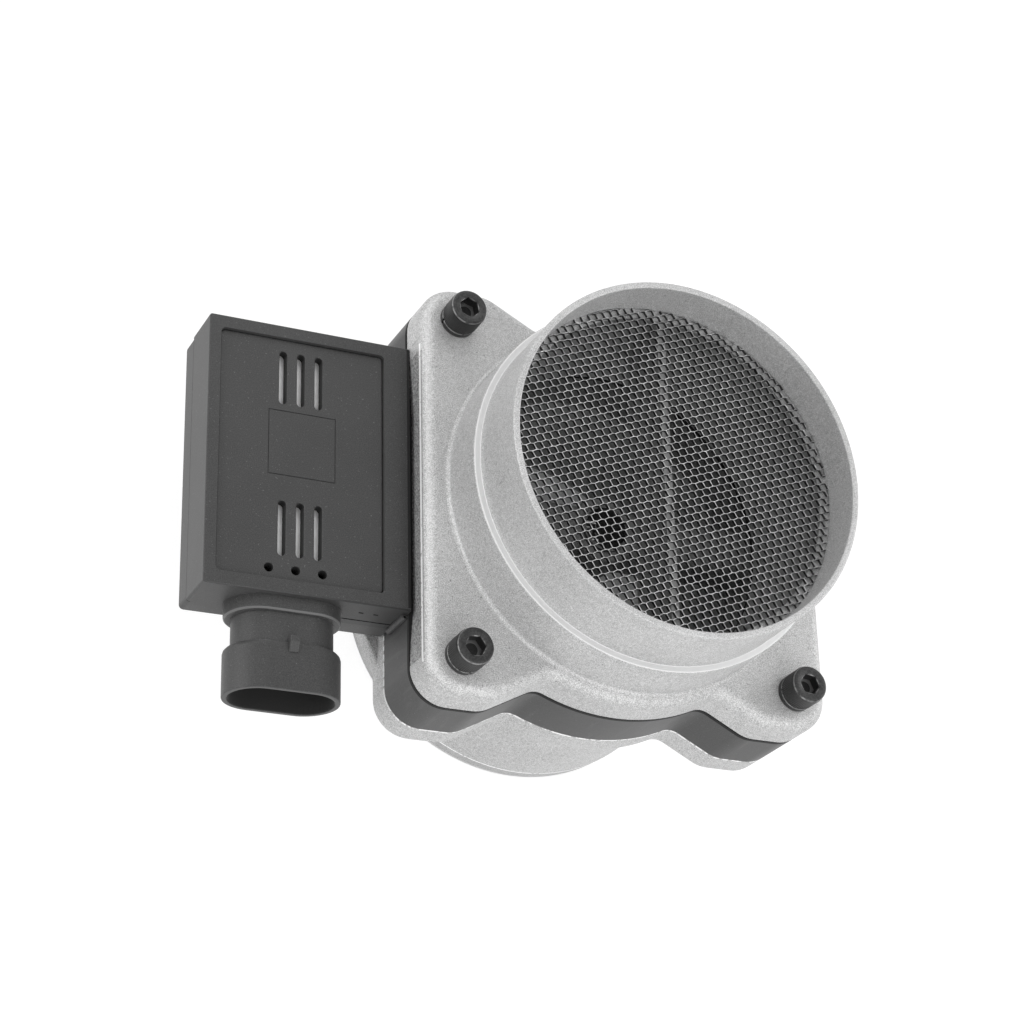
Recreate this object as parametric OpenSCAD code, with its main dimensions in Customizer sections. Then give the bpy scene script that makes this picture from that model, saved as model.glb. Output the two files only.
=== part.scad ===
// Hot-wire mass airflow sensor for an engine's air intake.
// Two cast aluminium housings clamp a moulded centre section between them. The centre section
// carries the sensing bridge in the bore, the electronics box on one side and its connector.
// The bore runs along Z: the outlet end stands on Z = 0 and the inlet mouth with its screen is on top.
// The electronics box is toward -X and its connector points toward -Y.

/* [Bore and tubes] */
// Outside radius of the inlet spigot, where the hose is clamped
spigot_r = 44; // [43.6:0.1:44.6]
// Radius of the inlet mouth, above the screen
mouth_r = 42.4; // [42:0.1:42.6]
// Radius of the bore below the screen
bore_r = 40; // [39:0.5:40.5]
// Outside radius of the cast collar under the inlet spigot
collar_r = 45.6; // [45.4:0.1:46]
// Outside radius of the outlet tube
tube_r = 45.1; // [44.8:0.1:45.6]
// Length of the inlet tube above its flange
inlet_l = 32.9; // [31:0.1:36]
// Length of the outlet tube below its flange
outlet_l = 32.2; // [30:0.1:36]
// Height of the cast collar between the inlet flange and the turned spigot
collar_h = 14.6; // [12:0.2:16]
// Height of the lead-in taper at the outlet end
taper_h = 3.4; // [2:0.1:5]
// Amount by which that taper narrows the tube
taper_in = 0.3; // [0.2:0.1:1]

/* [Flanges and centre ring] */
// Thickness of the inlet flange
inlet_flange_t = 10.4; // [9.6:0.1:12]
// Thickness of the outlet flange
outlet_flange_t = 9.6; // [9:0.1:12]
// Thickness of the moulded centre ring
ring_t = 15.4; // [14.4:0.1:16]
// Distance of the screws from the bore axis along X
screw_x = 42.7; // [42:0.1:43.4]
// Distance of the screws from the bore axis along Y, on the side of the electronics box
screw_y = 42.5; // [42:0.1:43]
// The same on the other side, where the corners are closer together
screw_y2 = 40.5; // [40:0.1:41.5]
// Radius of the flange corners around the screws
lobe_r = 8.85; // [8.6:0.05:9.2]
// Length of the straight top of each corner
lobe_l = 6.2; // [5.4:0.1:6.8]
// Radius of the flange round the bore
hub_r = 48.6; // [48.2:0.1:49.2]
// Slope of the flange edge between a corner and the hub, in degrees
edge_slope = 27.9; // [26.5:0.1:29]
// Radius of the hollow where that edge meets the hub
hollow_r = 5.2; // [4.4:0.1:5.8]
// Radius of the rounded outer edge of each casting
edge_r = 3; // [2:0.25:3.5]
// Depth of the relief in the inlet flange beside the electronics box
relief_d = 1.1; // [0.8:0.1:1.4]
// Height of that relief
relief_h = 7; // [6:0.5:7]

/* [Screws] */
// Radius of the screw thread
thread_r = 2.75; // [2.6:0.05:2.9]
// Radius of the screw head
head_r = 4.55; // [4.3:0.05:4.8]
// Height of the screw head
head_h = 5.9; // [5:0.1:6.5]
// Width of the hexagon socket across its flats
socket_af = 4.5; // [4:0.1:4.8]
// Length of the screw under its head
screw_l = 35; // [34:0.5:36]
// Thickness of the split washer
washer_t = 1.5; // [1.3:0.1:1.8]
// Radius of the clearance holes for the screws
clear_r = 3.1; // [3:0.05:3.3]

/* [Screen and rib] */
// Distance of the screen below the inlet mouth
screen_depth = 10.4; // [9:0.2:12]
// Thickness of the screen
screen_t = 0.8; // [0.6:0.1:1.2]
// Distance between the cells of the screen
cell_p = 7.5; // [7.4:0.1:9]
// Width of the webs between the cells
web_w = 0.9; // [0.6:0.1:1.4]
// Direction of the rows of cells, in degrees
cell_turn = 19.6; // [0:0.2:59]
// Width of the cast rib under the screen
rib_w = 2.2; // [1.8:0.1:3]
// Depth of that rib along the bore
rib_h = 16; // [8:0.5:18]

/* [Electronics box] */
// Length of the box along the bore's cross direction X
box_l = 49.5; // [47:0.5:52]
// Size of the box along Y
box_w = 67; // [63:0.2:70]
// Distance from the bore axis to the box's lower wall, which carries the connector
box_low = 29.6; // [29:0.1:30.2]
// Depth of the box from its back to its front face
box_d = 18.8; // [18.3:0.1:20]
// Height of the front face above the centre ring
box_rise = 1.8; // [1.4:0.1:2.2]
// Distance of the mould parting line from the front face
part_line = 12.5; // [11.5:0.25:13.5]
// Step of the rear half of the box inside the front half
part_step = 0.15; // [0.1:0.05:0.4]
// Radius of the rear corners of the box
rear_r = 3; // [2:0.5:4]
// Thickness of the back wall
back_t = 3; // [2:0.25:3.25]

/* [Cover] */
// Length of the cover along X
cover_l = 39.8; // [39:0.1:40.4]
// Size of the cover along Y
cover_w = 60.2; // [59:0.1:61]
// Distance from the box's left wall to the cover
cover_in = 3; // [2.7:0.1:3.3]
// Thickness of the cover
cover_t = 2.2; // [2:0.1:2.6]
// Depth of the cover's face below the front face of the box
cover_sink = 1.4; // [1:0.1:1.6]
// Gap round the cover
cover_gap = 0.3; // [0.2:0.05:0.5]
// Width of the ledge that carries the cover
ledge_w = 1.5; // [1.2:0.1:1.8]
// Distance between the slots
slot_p = 4.35; // [4:0.05:4.6]
// Width of a slot
slot_w = 1.9; // [1.5:0.1:2.2]
// Length of a slot from end to end
slot_l = 13.6; // [12:0.1:14]
// Radius of the three round vents
vent_r = 1; // [0.8:0.05:1.2]
// Distance between the vents
vent_p = 6.4; // [5.5:0.1:7]
// Side of the square outline on the cover
panel_a = 16.4; // [14:0.1:17]

/* [Connector] */
// Distance from the box's left wall to the middle of the connector
conn_in = 21.9; // [20.5:0.1:23]
// Width of the connector shroud
shroud_w = 27.3; // [26.5:0.1:28]
// Depth of the shroud along the bore
shroud_d = 16.5; // [16:0.1:17]
// Length of the shroud
shroud_l = 13.7; // [12:0.1:15]
// Wall of the shroud
shroud_t = 1.4; // [1.2:0.1:1.8]
// Amount by which the neck is narrower than the shroud, on each side
neck_in = 1.8; // [1.6:0.1:2.2]
// Amount by which the neck is shallower than the shroud, front and back
neck_sink = 0.3; // [0.2:0.1:0.5]
// Length of the neck
neck_l = 4.8; // [4:0.1:5.5]
// Height of the collar against the box
boss_h = 3.6; // [3:0.1:4]
// Depth of the socket
socket_d = 11.6; // [10:0.2:11.8]
// Distance between the blades
blade_p = 5; // [4.6:0.1:5.4]
// Width of a blade
blade_w = 2.8; // [2:0.1:2.8]
// Thickness of a blade
blade_t = 0.8; // [0.6:0.05:0.9]

/* [Sensing bridge] */
// Width of the bridge across the bore
bridge_w = 12; // [10:0.5:13]
// Height of the bridge along the bore
bridge_h = 13; // [12:0.5:13.5]
// Outside radius of the boss round the sampling duct
duct_boss_r = 8.5; // [8:0.25:9.5]
// Radius of the hole for the sampling tube
duct_r = 6; // [5.5:0.1:6.2]
// Wall of the sampling tube
duct_t = 0.7; // [0.5:0.1:0.8]
// Radius of the sensor posts
post_r = 0.4; // [0.35:0.05:0.5]
// Distance between the two posts of a pair
post_p = 4.4; // [4:0.1:4.8]
// Height of the lower pair of posts above the middle of the bridge
pair_up = 1.6; // [1.2:0.1:2]
// Distance between the lower and the upper pair
pair_p = 2.8; // [2.2:0.1:3]

/* [Seals and board] */
// Radius of the middle of each seal
seal_r = 44.6; // [44:0.1:45]
// Width of a seal groove
groove_w = 2.8; // [2.6:0.1:3]
// Depth of a seal groove
groove_d = 2; // [1.8:0.1:2.2]
// Thickness of the circuit board
board_t = 1.6; // [1:0.1:1.6]
// Height of the board above the floor of the box
board_up = 4; // [3.5:0.1:4.4]
// Thickness of the shield plate under the cover
shield_t = 0.8; // [0.5:0.1:1]

/* [Hidden] */
$fn = 96;
graze = 0.04;

// Levels along the bore
z_out = outlet_l;
z_ring = z_out + outlet_flange_t;
z_top = z_ring + ring_t;
z_flange = z_top + inlet_flange_t;
z_end = z_flange + inlet_l;
z_screen = z_end - screen_depth;

// Corner positions, in the order left rear, left front, right front, right rear
corners = [[-screw_x, screw_y], [-screw_x, -screw_y], [screw_x, -screw_y2], [screw_x, screw_y2]];
side_x = screw_x + lobe_r;

// The sloping edge of a corner whose screw is y from the axis: its outward normal, its run
// direction, its second round's centre and its distance from the axis
edge_n = [-sin(edge_slope), cos(edge_slope)];
edge_u = [cos(edge_slope), sin(edge_slope)];
function lobe_2(y) = [screw_x - lobe_l, y];
function edge_c(y) = edge_n * lobe_2(y) + lobe_r;
// The hollow, which touches the sloping edge at a and the hub at b
function hollow_s(y) = sqrt(pow(hub_r + hollow_r, 2) - pow(edge_c(y) + hollow_r, 2));
function hollow_c(y) = edge_n * (edge_c(y) + hollow_r) + edge_u * hollow_s(y);
function hollow_a(y) = hollow_c(y) - edge_n * hollow_r;
function hollow_b(y) = hollow_c(y) * hub_r / (hub_r + hollow_r);
// Length of the straight sloping edge
function edge_run(y) = (lobe_2(y) - hollow_a(y)) * edge_u;
// Distance of a corner's screw along Y, for the side s of the bore
function corner_y(s) = s > 0 ? screw_y2 : screw_y;

// The electronics box and its cover
box_x1 = -side_x;
box_x0 = box_x1 - box_l;
box_y0 = -box_low;
box_y1 = box_y0 + box_w;
box_y = (box_y0 + box_y1) / 2;
z_front = z_top + box_rise;
z_back = z_front - box_d;
z_floor = z_back + back_t;
z_cover = z_front - cover_sink;
z_ledge = z_cover - cover_t;
cover_x = box_x0 + cover_in + cover_l / 2;
cover_y = box_y + 0.1;
z_board = z_floor + board_up;
z_pad = z_board + board_t;

// The connector is centred on the board's upper face
conn_x = box_x0 + conn_in;
conn_z = z_pad + blade_t / 2;
conn_y0 = box_y0;
conn_y1 = conn_y0 - boss_h;
conn_y2 = conn_y1 - neck_l;
conn_y3 = conn_y2 - shroud_l;

// The bridge
z_bridge = (z_ring + z_top) / 2;
pair_z = [z_bridge + pair_up, z_bridge + pair_up + pair_p];

module at_corners() {
    for (p = corners)
        translate([p[0], p[1], 0])
            children();
}

// Points of one corner's share of the outline, c in from its rounds, for the side s of the bore
function corner_points(s, t, c) = [
    [s * (side_x - c), t * corner_y(s)],
    [s * screw_x, t * (corner_y(s) + (c > 1 ? lobe_r - c : 0))],
    [s * lobe_2(corner_y(s))[0], t * (corner_y(s) + (c > 1 ? lobe_r - c : 0))]
];
function flip(v) = [for (i = [len(v) - 1:-1:0]) v[i]];
// Point near the hollow where two corners' shares meet, in by k from it
function inner_point(s, t, k) = [
    s * (hollow_a(corner_y(s))[0] + (k > 0 ? 1 : 0)) * (k > 0 ? 1 : 0.9),
    t * (hollow_a(corner_y(s))[1] - k) * (k > 0 ? 1 : 0.9)
];
// Middle of the plate, c in from the rounds and k in from the hollows
function middle_points(c, k) = [
    for (q = [[1, 1], [-1, 1], [-1, -1], [1, -1]])
        each (q[0] * q[1] > 0
            ? concat(corner_points(q[0], q[1], c), [inner_point(q[0], q[1], k)])
            : concat([inner_point(q[0], q[1], k)], flip(corner_points(q[0], q[1], c))))
];

// Flat outline of the centre ring, the same as the flanges'.
// Straight edges sit a hair inside the round ones here too.
module flange_outline() {
    circle(r = hub_r);
    polygon(middle_points(graze, 0));
    for (i = [0, 1], j = [0, 1])
        mirror([i, 0])
            mirror([0, j])
                quarter_outline(corner_y(1 - 2 * i));
}

// One corner of that outline with its sloping edge and hollow, its screw y from the axis
module quarter_outline(y) {
    l2 = lobe_2(y);
    translate([screw_x, y])
        circle(r = lobe_r);
    translate(l2)
        circle(r = lobe_r);
    translate([l2[0], l2[1] - lobe_r / 2])
        square([lobe_l, 1.5 * lobe_r - graze]);
    polygon([
        l2 + edge_n * (lobe_r - graze),
        hollow_a(y) - edge_n * graze,
        hollow_a(y) * 0.9,
        l2
    ]);
    translate(-hollow_b(y) * 0.002)
        difference() {
            polygon([hollow_c(y), hollow_a(y) - edge_n * 2, hollow_b(y) * 0.96]);
            translate(hollow_c(y))
                circle(r = hollow_r);
        }
}

// Section of a plate whose upper outer edge is rounded, w wide from X = 0
module edge_section(w, t, r) {
    square([w, t - r]);
    square([w - r, t]);
    translate([w - r, t - r])
        circle(r = r);
}

// Disc, t thick, with a rounded upper edge
module edge_disc(r0, t) {
    rotate_extrude()
        edge_section(r0, t, edge_r);
}

// Straight bar, l long from the point p along the angle a, rounded on its far side
module edge_bar(p, a, l, w, t) {
    translate([p[0], p[1], 0])
        rotate([0, 0, a])
            rotate([90, 0, 0])
                linear_extrude(height = l)
                    edge_section(w, t, edge_r);
}

// Cast flange plate, t thick, with its upper outer edge rounded and its underside at Z = 0.
// The straight edges sit a hair inside the round ones, so that faces cross and never just graze.
module flange_plate(t) {
    edge_disc(hub_r, t);
    linear_extrude(height = t)
        polygon(middle_points(edge_r + 0.5, edge_r + 1.5));
    for (i = [0, 1])
        mirror([i, 0, 0])
            side_corners(corner_y(1 - 2 * i), t);
}

// Side edge and both corners of the plate at +X, with their screws y from the axis
module side_corners(y, t) {
    l2 = lobe_2(y);
    edge_bar([side_x - 9, y], 0, 2 * y, 9 - graze, t);
    for (j = [0, 1])
        mirror([0, j, 0]) {
            translate([screw_x, y, 0])
                edge_disc(lobe_r, t);
            translate([l2[0], l2[1], 0])
                edge_disc(lobe_r, t);
            edge_bar(l2, 90, lobe_l, lobe_r - graze, t);
            edge_bar(l2 - edge_u * edge_run(y), 90 + edge_slope, edge_run(y), lobe_r - graze, t - graze / 2);
            translate([-hollow_b(y)[0], -hollow_b(y)[1], 0] * 0.002)
                hollow_fill(y, t);
        }
}

// Fills the inner corner between the sloping edge and the hub with a hollow curve
module hollow_fill(y, t) {
    c = hollow_c(y);
    k = (hollow_r + edge_r + 1) / hollow_r;
    difference() {
        linear_extrude(height = t)
            polygon([c, c + (hollow_a(y) - c) * k, c + (hollow_b(y) - c) * k]);
        translate([c[0], c[1], -1])
            rotate_extrude()
                difference() {
                    square([hollow_r + edge_r, t + 2]);
                    translate([hollow_r, 0])
                        square([edge_r + 1, t - edge_r + 1]);
                    translate([hollow_r + edge_r, t - edge_r + 1])
                        circle(r = edge_r);
                }
    }
}

// Aluminium inlet casting: mouth, spigot, collar, flange and the rib that backs the screen
module inlet_housing() {
    color("silver")
        difference() {
            union() {
                translate([0, 0, z_top])
                    flange_plate(inlet_flange_t);
                rotate_extrude()
                    polygon([
                        [bore_r, z_top],
                        [collar_r - 1, z_top],
                        [collar_r - 1, z_flange - 1.2],
                        [collar_r + 1.2, z_flange - 1.2],
                        [collar_r + 1.2, z_flange - 0.4],
                        [collar_r, z_flange + 0.8],
                        [collar_r, z_flange + collar_h - 0.4],
                        [collar_r - 0.4, z_flange + collar_h],
                        [spigot_r, z_flange + collar_h],
                        [spigot_r, z_end - 0.5],
                        [spigot_r - 0.5, z_end],
                        [bore_r, z_end]
                    ]);
            }
            translate([0, 0, z_top - 1])
                cylinder(h = inlet_flange_t + 3, r = bore_r);
            rotate_extrude()
                polygon([
                    [0, z_top - 1],
                    [bore_r, z_top - 1],
                    [bore_r, z_screen - screen_t],
                    [mouth_r, z_screen - screen_t],
                    [mouth_r, z_end - 0.3],
                    [mouth_r + 0.3, z_end],
                    [mouth_r + 0.3, z_end + 1],
                    [0, z_end + 1]
                ]);
            at_corners()
                translate([0, 0, z_top - 1])
                    cylinder(h = inlet_flange_t + 2, r = clear_r, $fn = 48);
            translate([-side_x - 1, box_y0 - 0.6, z_top - 1])
                cube([1 + relief_d, box_w + 1.2, relief_h + 1]);
        }
    color("silver")
        cross_rib();
}

// Rib across the bore under the screen, with flared ends
module cross_rib() {
    zt = z_screen - screen_t;
    intersection() {
        translate([0, 0, zt - rib_h])
            cylinder(h = rib_h, r = bore_r + 0.6);
        union() {
            translate([-rib_w / 2, -bore_r - 1, zt - rib_h + rib_w / 2])
                cube([rib_w, 2 * bore_r + 2, rib_h - rib_w / 2]);
            translate([0, bore_r + 1, zt - rib_h + rib_w / 2])
                rotate([90, 0, 0])
                    cylinder(h = 2 * bore_r + 2, r = rib_w / 2, $fn = 32);
            for (m = [0, 1])
                mirror([0, m, 0])
                    translate([0, 0, zt - rib_h + rib_w])
                        linear_extrude(height = rib_h - rib_w)
                            difference() {
                                translate([-rib_w / 2 - 2, bore_r - 2.4])
                                    square([rib_w + 4, 3]);
                                for (s = [-1, 1])
                                    translate([s * (rib_w / 2 + 2.4), bore_r - 2.6])
                                        circle(r = 2.4, $fn = 48);
                            }
        }
    }
}

// Aluminium outlet casting: flange with tapped holes, tube and the tongue behind the box
module outlet_housing() {
    color("silver")
        difference() {
            union() {
                translate([0, 0, z_ring])
                    mirror([0, 0, 1])
                        flange_plate(outlet_flange_t);
                rotate_extrude()
                    polygon([
                        [bore_r, 0],
                        [tube_r - taper_in, 0],
                        [tube_r, taper_h],
                        [tube_r, z_out - 0.8],
                        [tube_r + 1.2, z_out + 0.4],
                        [tube_r + 1.2, z_out + 1.2],
                        [tube_r - 1, z_out + 1.2],
                        [tube_r - 1, z_ring],
                        [bore_r, z_ring]
                    ]);
                tongue();
            }
            rotate_extrude()
                polygon([
                    [0, -1],
                    [mouth_r, -1],
                    [mouth_r, 0.01],
                    [bore_r, z_out],
                    [bore_r, z_ring + 1],
                    [0, z_ring + 1]
                ]);
            at_corners()
                translate([0, 0, z_out - 1])
                    cylinder(h = outlet_flange_t + 2, r = thread_r + 0.05, $fn = 48);
        }
}

// Tongue of the outlet flange that reaches behind the electronics box
module tongue() {
    y0 = -35.4;
    y1 = 2 * box_y - y0;
    run = 8;
    rise = 18.2;
    translate([0, 0, z_out + 0.9])
        linear_extrude(height = 4.4)
            polygon([
                [-side_x + 6, y0 - 8],
                [-side_x + 0.1, y0 - 0.2],
                [-side_x - run, y0 + rise],
                [-side_x - run, y1 - rise],
                [-side_x + 0.1, y1 + 0.2],
                [-side_x + 6, y1 + 8]
            ]);
}

// Flat racetrack outline, w long and d deep, centred
module racetrack(w, d) {
    square([w - d, d], center = true);
    for (s = [-1, 1])
        translate([s * (w - d) / 2, 0])
            circle(r = d / 2);
}

// Racetrack prism from y_a down to y_b, about the connector's axis
module race_prism(w, d, y_a, y_b) {
    translate([conn_x, y_a, conn_z])
        rotate([90, 0, 0])
            linear_extrude(height = y_a - y_b)
                racetrack(w, d);
}

// Shroud of the connector with its shoulder, neck and collar
module connector_solid() {
    race_prism(shroud_w, shroud_d, conn_y0 + 1, conn_y1 + 0.6);
    race_prism(shroud_w - 0.8, shroud_d - 0.8, conn_y1 + 0.61, conn_y1);
    race_prism(shroud_w - 2 * neck_in, shroud_d - 2 * neck_sink, conn_y0, conn_y2 - 1);
    race_prism(shroud_w - 1.6, shroud_d - 1.6, conn_y2, conn_y2 - 1);
    race_prism(shroud_w, shroud_d, conn_y2 - 0.9, conn_y3 + 0.3);
    race_prism(shroud_w - 0.6, shroud_d - 0.6, conn_y3 + 0.31, conn_y3);
    // Latch ramp on the front of the shroud
    translate([conn_x - 1.2, conn_y2 - 2.4, conn_z + shroud_d / 2 - 2.2])
        rotate([90, 0, 90])
            linear_extrude(height = 2.4)
                polygon([[0, 0], [0, 2.5], [2.3, 3.7], [3.6, 3.7], [3.6, 0]]);
}

// Rear half of the box, with rounded corners
module rear_half() {
    x0 = box_x0 + part_step;
    x1 = box_x1 - 0.4;
    y0 = box_y0 + part_step;
    y1 = box_y1 - part_step;
    h = z_front - part_line - z_back;
    translate([x0 + rear_r, y0, z_back])
        cube([x1 - x0 - rear_r, y1 - y0, h]);
    translate([x0, y0 + rear_r, z_back])
        cube([x1 - x0, y1 - y0 - 2 * rear_r, h]);
    for (y = [y0 + rear_r, y1 - rear_r])
        translate([x0 + rear_r, y, z_back])
            cylinder(h = h, r = rear_r, $fn = 48);
}

// Moulded centre section: ring, sensing bridge, electronics box and connector shroud
module sensor_body() {
    color("dimgray")
        difference() {
            union() {
                translate([0, 0, z_ring])
                    linear_extrude(height = ring_t)
                        flange_outline();
                translate([box_x0, box_y0, z_front - part_line])
                    cube([box_l, box_w, part_line]);
                rear_half();
                translate([box_x1 - 1, box_y0 + 1, z_ring])
                    cube([6, box_w - 2, ring_t]);
                connector_solid();
                corner_bead();
            }
            // Bore, left solid where the bridge crosses it
            difference() {
                translate([0, 0, z_ring - 1])
                    cylinder(h = ring_t + 2, r = bore_r);
                bridge_solid();
            }
            // Sampling duct
            translate([0, 0, z_ring - 1])
                cylinder(h = ring_t + 2, r = duct_r);
            // Holes for the spacer sleeves
            at_corners()
                translate([0, 0, z_ring - 1])
                    cylinder(h = ring_t + 2, r = sleeve_r + 0.05, $fn = 48);
            // Seal grooves
            for (z = [z_top - groove_d, z_ring - 1])
                translate([0, 0, z])
                    difference() {
                        cylinder(h = groove_d + 1, r = seal_r + groove_w / 2);
                        translate([0, 0, -1])
                            cylinder(h = groove_d + 3, r = seal_r - groove_w / 2);
                    }
            // Room for the cover and, below its ledge, for the board
            cover_block(cover_gap, z_ledge, z_front + 1);
            translate([cover_x - cover_l / 2 + ledge_w, cover_y - cover_w / 2 + ledge_w, z_floor])
                difference() {
                    cube([cover_l - 2 * ledge_w, cover_w - 2 * ledge_w, z_ledge + 1 - z_floor]);
                    for (x = [3, cover_l - 2 * ledge_w - 3], y = [5, cover_w - 2 * ledge_w - 5])
                        translate([x, y, -1])
                            cylinder(h = board_up + 1, r = 2, $fn = 32);
                }
            // Passage for the posts, from the box through the bridge into the duct
            for (z = pair_z, s = [-1, 1])
                translate([cover_x, s * post_p / 2, z])
                    rotate([0, 90, 0])
                        cylinder(h = -cover_x, r = post_r + 0.05, $fn = 24);
            // Socket and the three blade passages
            race_prism(shroud_w - 2 * shroud_t, shroud_d - 2 * shroud_t, conn_y3 + socket_d, conn_y3 - 1);
            for (i = [-1, 0, 1])
                translate([conn_x + i * blade_p, conn_y3 + 4, conn_z])
                    translate([-blade_w / 2 - 0.05, 0, -blade_t / 2 - 0.05])
                        cube([blade_w + 0.1, cover_y - cover_w / 2 + ledge_w - conn_y3, blade_t + 0.1]);
            ring_marks();
        }
}

// Bridge across the bore with the boss of the sampling duct
module bridge_solid() {
    zb = z_bridge - bridge_h / 2;
    translate([-bore_r - 2, 0, zb])
        rotate([90, 0, 90])
            linear_extrude(height = 2 * bore_r + 4) {
                translate([-bridge_w / 2, 3])
                    square([bridge_w, bridge_h - 6]);
                translate([-bridge_w / 2 + 3, 0])
                    square([bridge_w - 6, bridge_h]);
                for (s = [-1, 1], z = [3, bridge_h - 3])
                    translate([s * (bridge_w / 2 - 3), z])
                        circle(r = 3, $fn = 48);
            }
    translate([0, 0, zb])
        cylinder(h = bridge_h, r = duct_boss_r);
}

// Small moulded bead in the corner under the box, with an open pin hole in its end
module corner_bead() {
    translate([box_x1 - 0.6, box_y0 - 0.5, z_ring])
        difference() {
            cylinder(h = ring_t - 0.8, r = 1.25, $fn = 32);
            translate([-0.2, -0.4, ring_t - 2.4])
                cylinder(h = 3, r = 0.45, $fn = 24);
        }
}

// Shallow moulding marks on the lower side of the ring
module ring_marks() {
    translate([-3.9, -hub_r - 1, z_ring + 7.2])
        cube([1.6, 2.3, ring_t]);
    translate([-3.9, -hub_r - 1, z_top - 1])
        cube([5.2, 2, 2]);
    translate([1.4, -hub_r - 1, z_ring + 6.6])
        cube([1.2, 1.6, 1.2]);
}

sleeve_r = 4.5;

// Block of the cover's outline with rounded corners, g larger all round
module cover_block(g, z0, z1) {
    r = 2.4 + g;
    l = cover_l + 2 * g;
    w = cover_w + 2 * g;
    translate([cover_x, cover_y, z0])
        linear_extrude(height = z1 - z0) {
            square([l - 2 * r, w], center = true);
            square([l, w - 2 * r], center = true);
            for (i = [-1, 1], j = [-1, 1])
                translate([i * (l / 2 - r), j * (w / 2 - r)])
                    circle(r = r, $fn = 48);
        }
}

// Upright slot with round ends, centred at x, y
module slot_cut(x, y) {
    translate([x, y, z_ledge - 1])
        linear_extrude(height = cover_t + 2)
            rotate(90)
                racetrack(slot_l, slot_w);
}

// Recessed cover with two groups of three slots, three vents and a bare square outline
module electronics_cover() {
    color("dimgray")
        difference() {
            cover_block(0, z_ledge, z_cover);
            for (i = [-1, 0, 1]) {
                slot_cut(cover_x - 0.55 + i * slot_p, 24.15);
                slot_cut(cover_x - 0.35 + i * slot_p, -13.75);
                translate([cover_x - 1.2 + i * vent_p, -23.7, z_ledge - 1])
                    cylinder(h = cover_t + 2, r = vent_r, $fn = 32);
            }
            translate([cover_x - 0.1, 7.5, z_cover])
                linear_extrude(height = 0.6, center = true)
                    difference() {
                        square(panel_a, center = true);
                        square(panel_a - 0.5, center = true);
                    }
        }
}

// Aluminium plate under the cover, seen through the slots
module shield_plate() {
    color("gainsboro")
        translate([cover_x, cover_y + 1.8, z_ledge - shield_t / 2])
            cube([cover_l - 2 * ledge_w - 0.6, cover_w - 2 * ledge_w - 4, shield_t], center = true);
}

// Honeycomb screen in the mouth, drawn with coarse cells
module honeycomb_screen() {
    n = ceil(2 * mouth_r / cell_p);
    rows = cell_p * sin(60);
    color("lightgray")
        difference() {
            translate([0, 0, z_screen - screen_t])
                cylinder(h = screen_t, r = mouth_r - 0.15);
            rotate([0, 0, cell_turn])
                for (i = [-n:n], j = [-n:n]) {
                    x = (i + (j % 2 == 0 ? 0 : 0.5)) * cell_p;
                    y = j * rows;
                    if (norm([x, y]) < mouth_r - cell_p / 2 - 0.9)
                        translate([x, y, z_screen - screen_t - 1])
                            rotate([0, 0, 30])
                                cylinder(h = screen_t + 2, r = (cell_p - web_w) / 2 / cos(30), $fn = 6);
                }
        }
}

// Socket-head cap screw standing on its washer, head up
module cap_screw() {
    zh = z_flange + washer_t;
    color("dimgray")
        difference() {
            union() {
                translate([0, 0, zh])
                    rotate_extrude($fn = 64)
                        polygon([
                            [0, 0],
                            [head_r - 0.2, 0],
                            [head_r, 0.2],
                            [head_r, head_h - 0.5],
                            [head_r - 0.5, head_h],
                            [0, head_h]
                        ]);
                translate([0, 0, zh - screw_l])
                    rotate_extrude($fn = 64)
                        polygon([
                            [0, 0],
                            [thread_r - 0.6, 0],
                            [thread_r, 0.6],
                            [thread_r, screw_l + 1],
                            [0, screw_l + 1]
                        ]);
            }
            translate([0, 0, zh + head_h - 3])
                cylinder(h = 4, r = socket_af / 2 / cos(30), $fn = 6);
            translate([0, 0, zh + head_h - 3.7])
                cylinder(h = 1, r1 = 0, r2 = socket_af / 2 - 0.2, $fn = 48);
        }
}

// Split spring washer under a screw head
module lock_washer(a) {
    color("dimgray")
        translate([0, 0, z_flange])
            difference() {
                cylinder(h = washer_t, r = head_r - 0.05, $fn = 64);
                translate([0, 0, -1])
                    cylinder(h = washer_t + 2, r = thread_r + 0.1, $fn = 64);
                rotate([0, 0, a])
                    translate([thread_r - 1, 0, washer_t / 2])
                        rotate([25, 0, 0])
                            cube([head_r, 0.5, 3 * washer_t], center = false);
                rotate([0, 0, a])
                    translate([thread_r - 1, 0, washer_t / 2])
                        rotate([25, 0, 0])
                            translate([0, 0, -3 * washer_t])
                                cube([head_r, 0.5, 3 * washer_t]);
            }
}

// Steel sleeve that carries the screw's clamping force through the plastic ring
module spacer_sleeve() {
    color("silver")
        translate([0, 0, z_ring])
            difference() {
                cylinder(h = ring_t, r = sleeve_r, $fn = 48);
                translate([0, 0, -1])
                    cylinder(h = ring_t + 2, r = clear_r, $fn = 48);
            }
}

// Rubber seal, pressed to the height of its groove
module seal(z0) {
    w = groove_w - 0.4;
    color("black")
        translate([0, 0, z0])
            rotate_extrude()
                translate([seal_r, groove_d / 2])
                    intersection() {
                        square([w, groove_d], center = true);
                        circle(r = 1.45, $fn = 48);
                    }
}

// Thin tube that lines the sampling duct
module sampling_tube() {
    z0 = z_bridge - bridge_h / 2 - 0.8;
    color("lightgray")
        translate([0, 0, z0])
            difference() {
                cylinder(h = bridge_h + 1.6, r = duct_r - 0.03);
                translate([0, 0, -1])
                    cylinder(h = bridge_h + 4, r = duct_r - duct_t);
                for (z = pair_z, s = [-1, 1])
                    translate([-duct_r - 1, s * post_p / 2, z - z0])
                        rotate([0, 90, 0])
                            cylinder(h = duct_r, r = post_r + 0.05, $fn = 24);
            }
}

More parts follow.
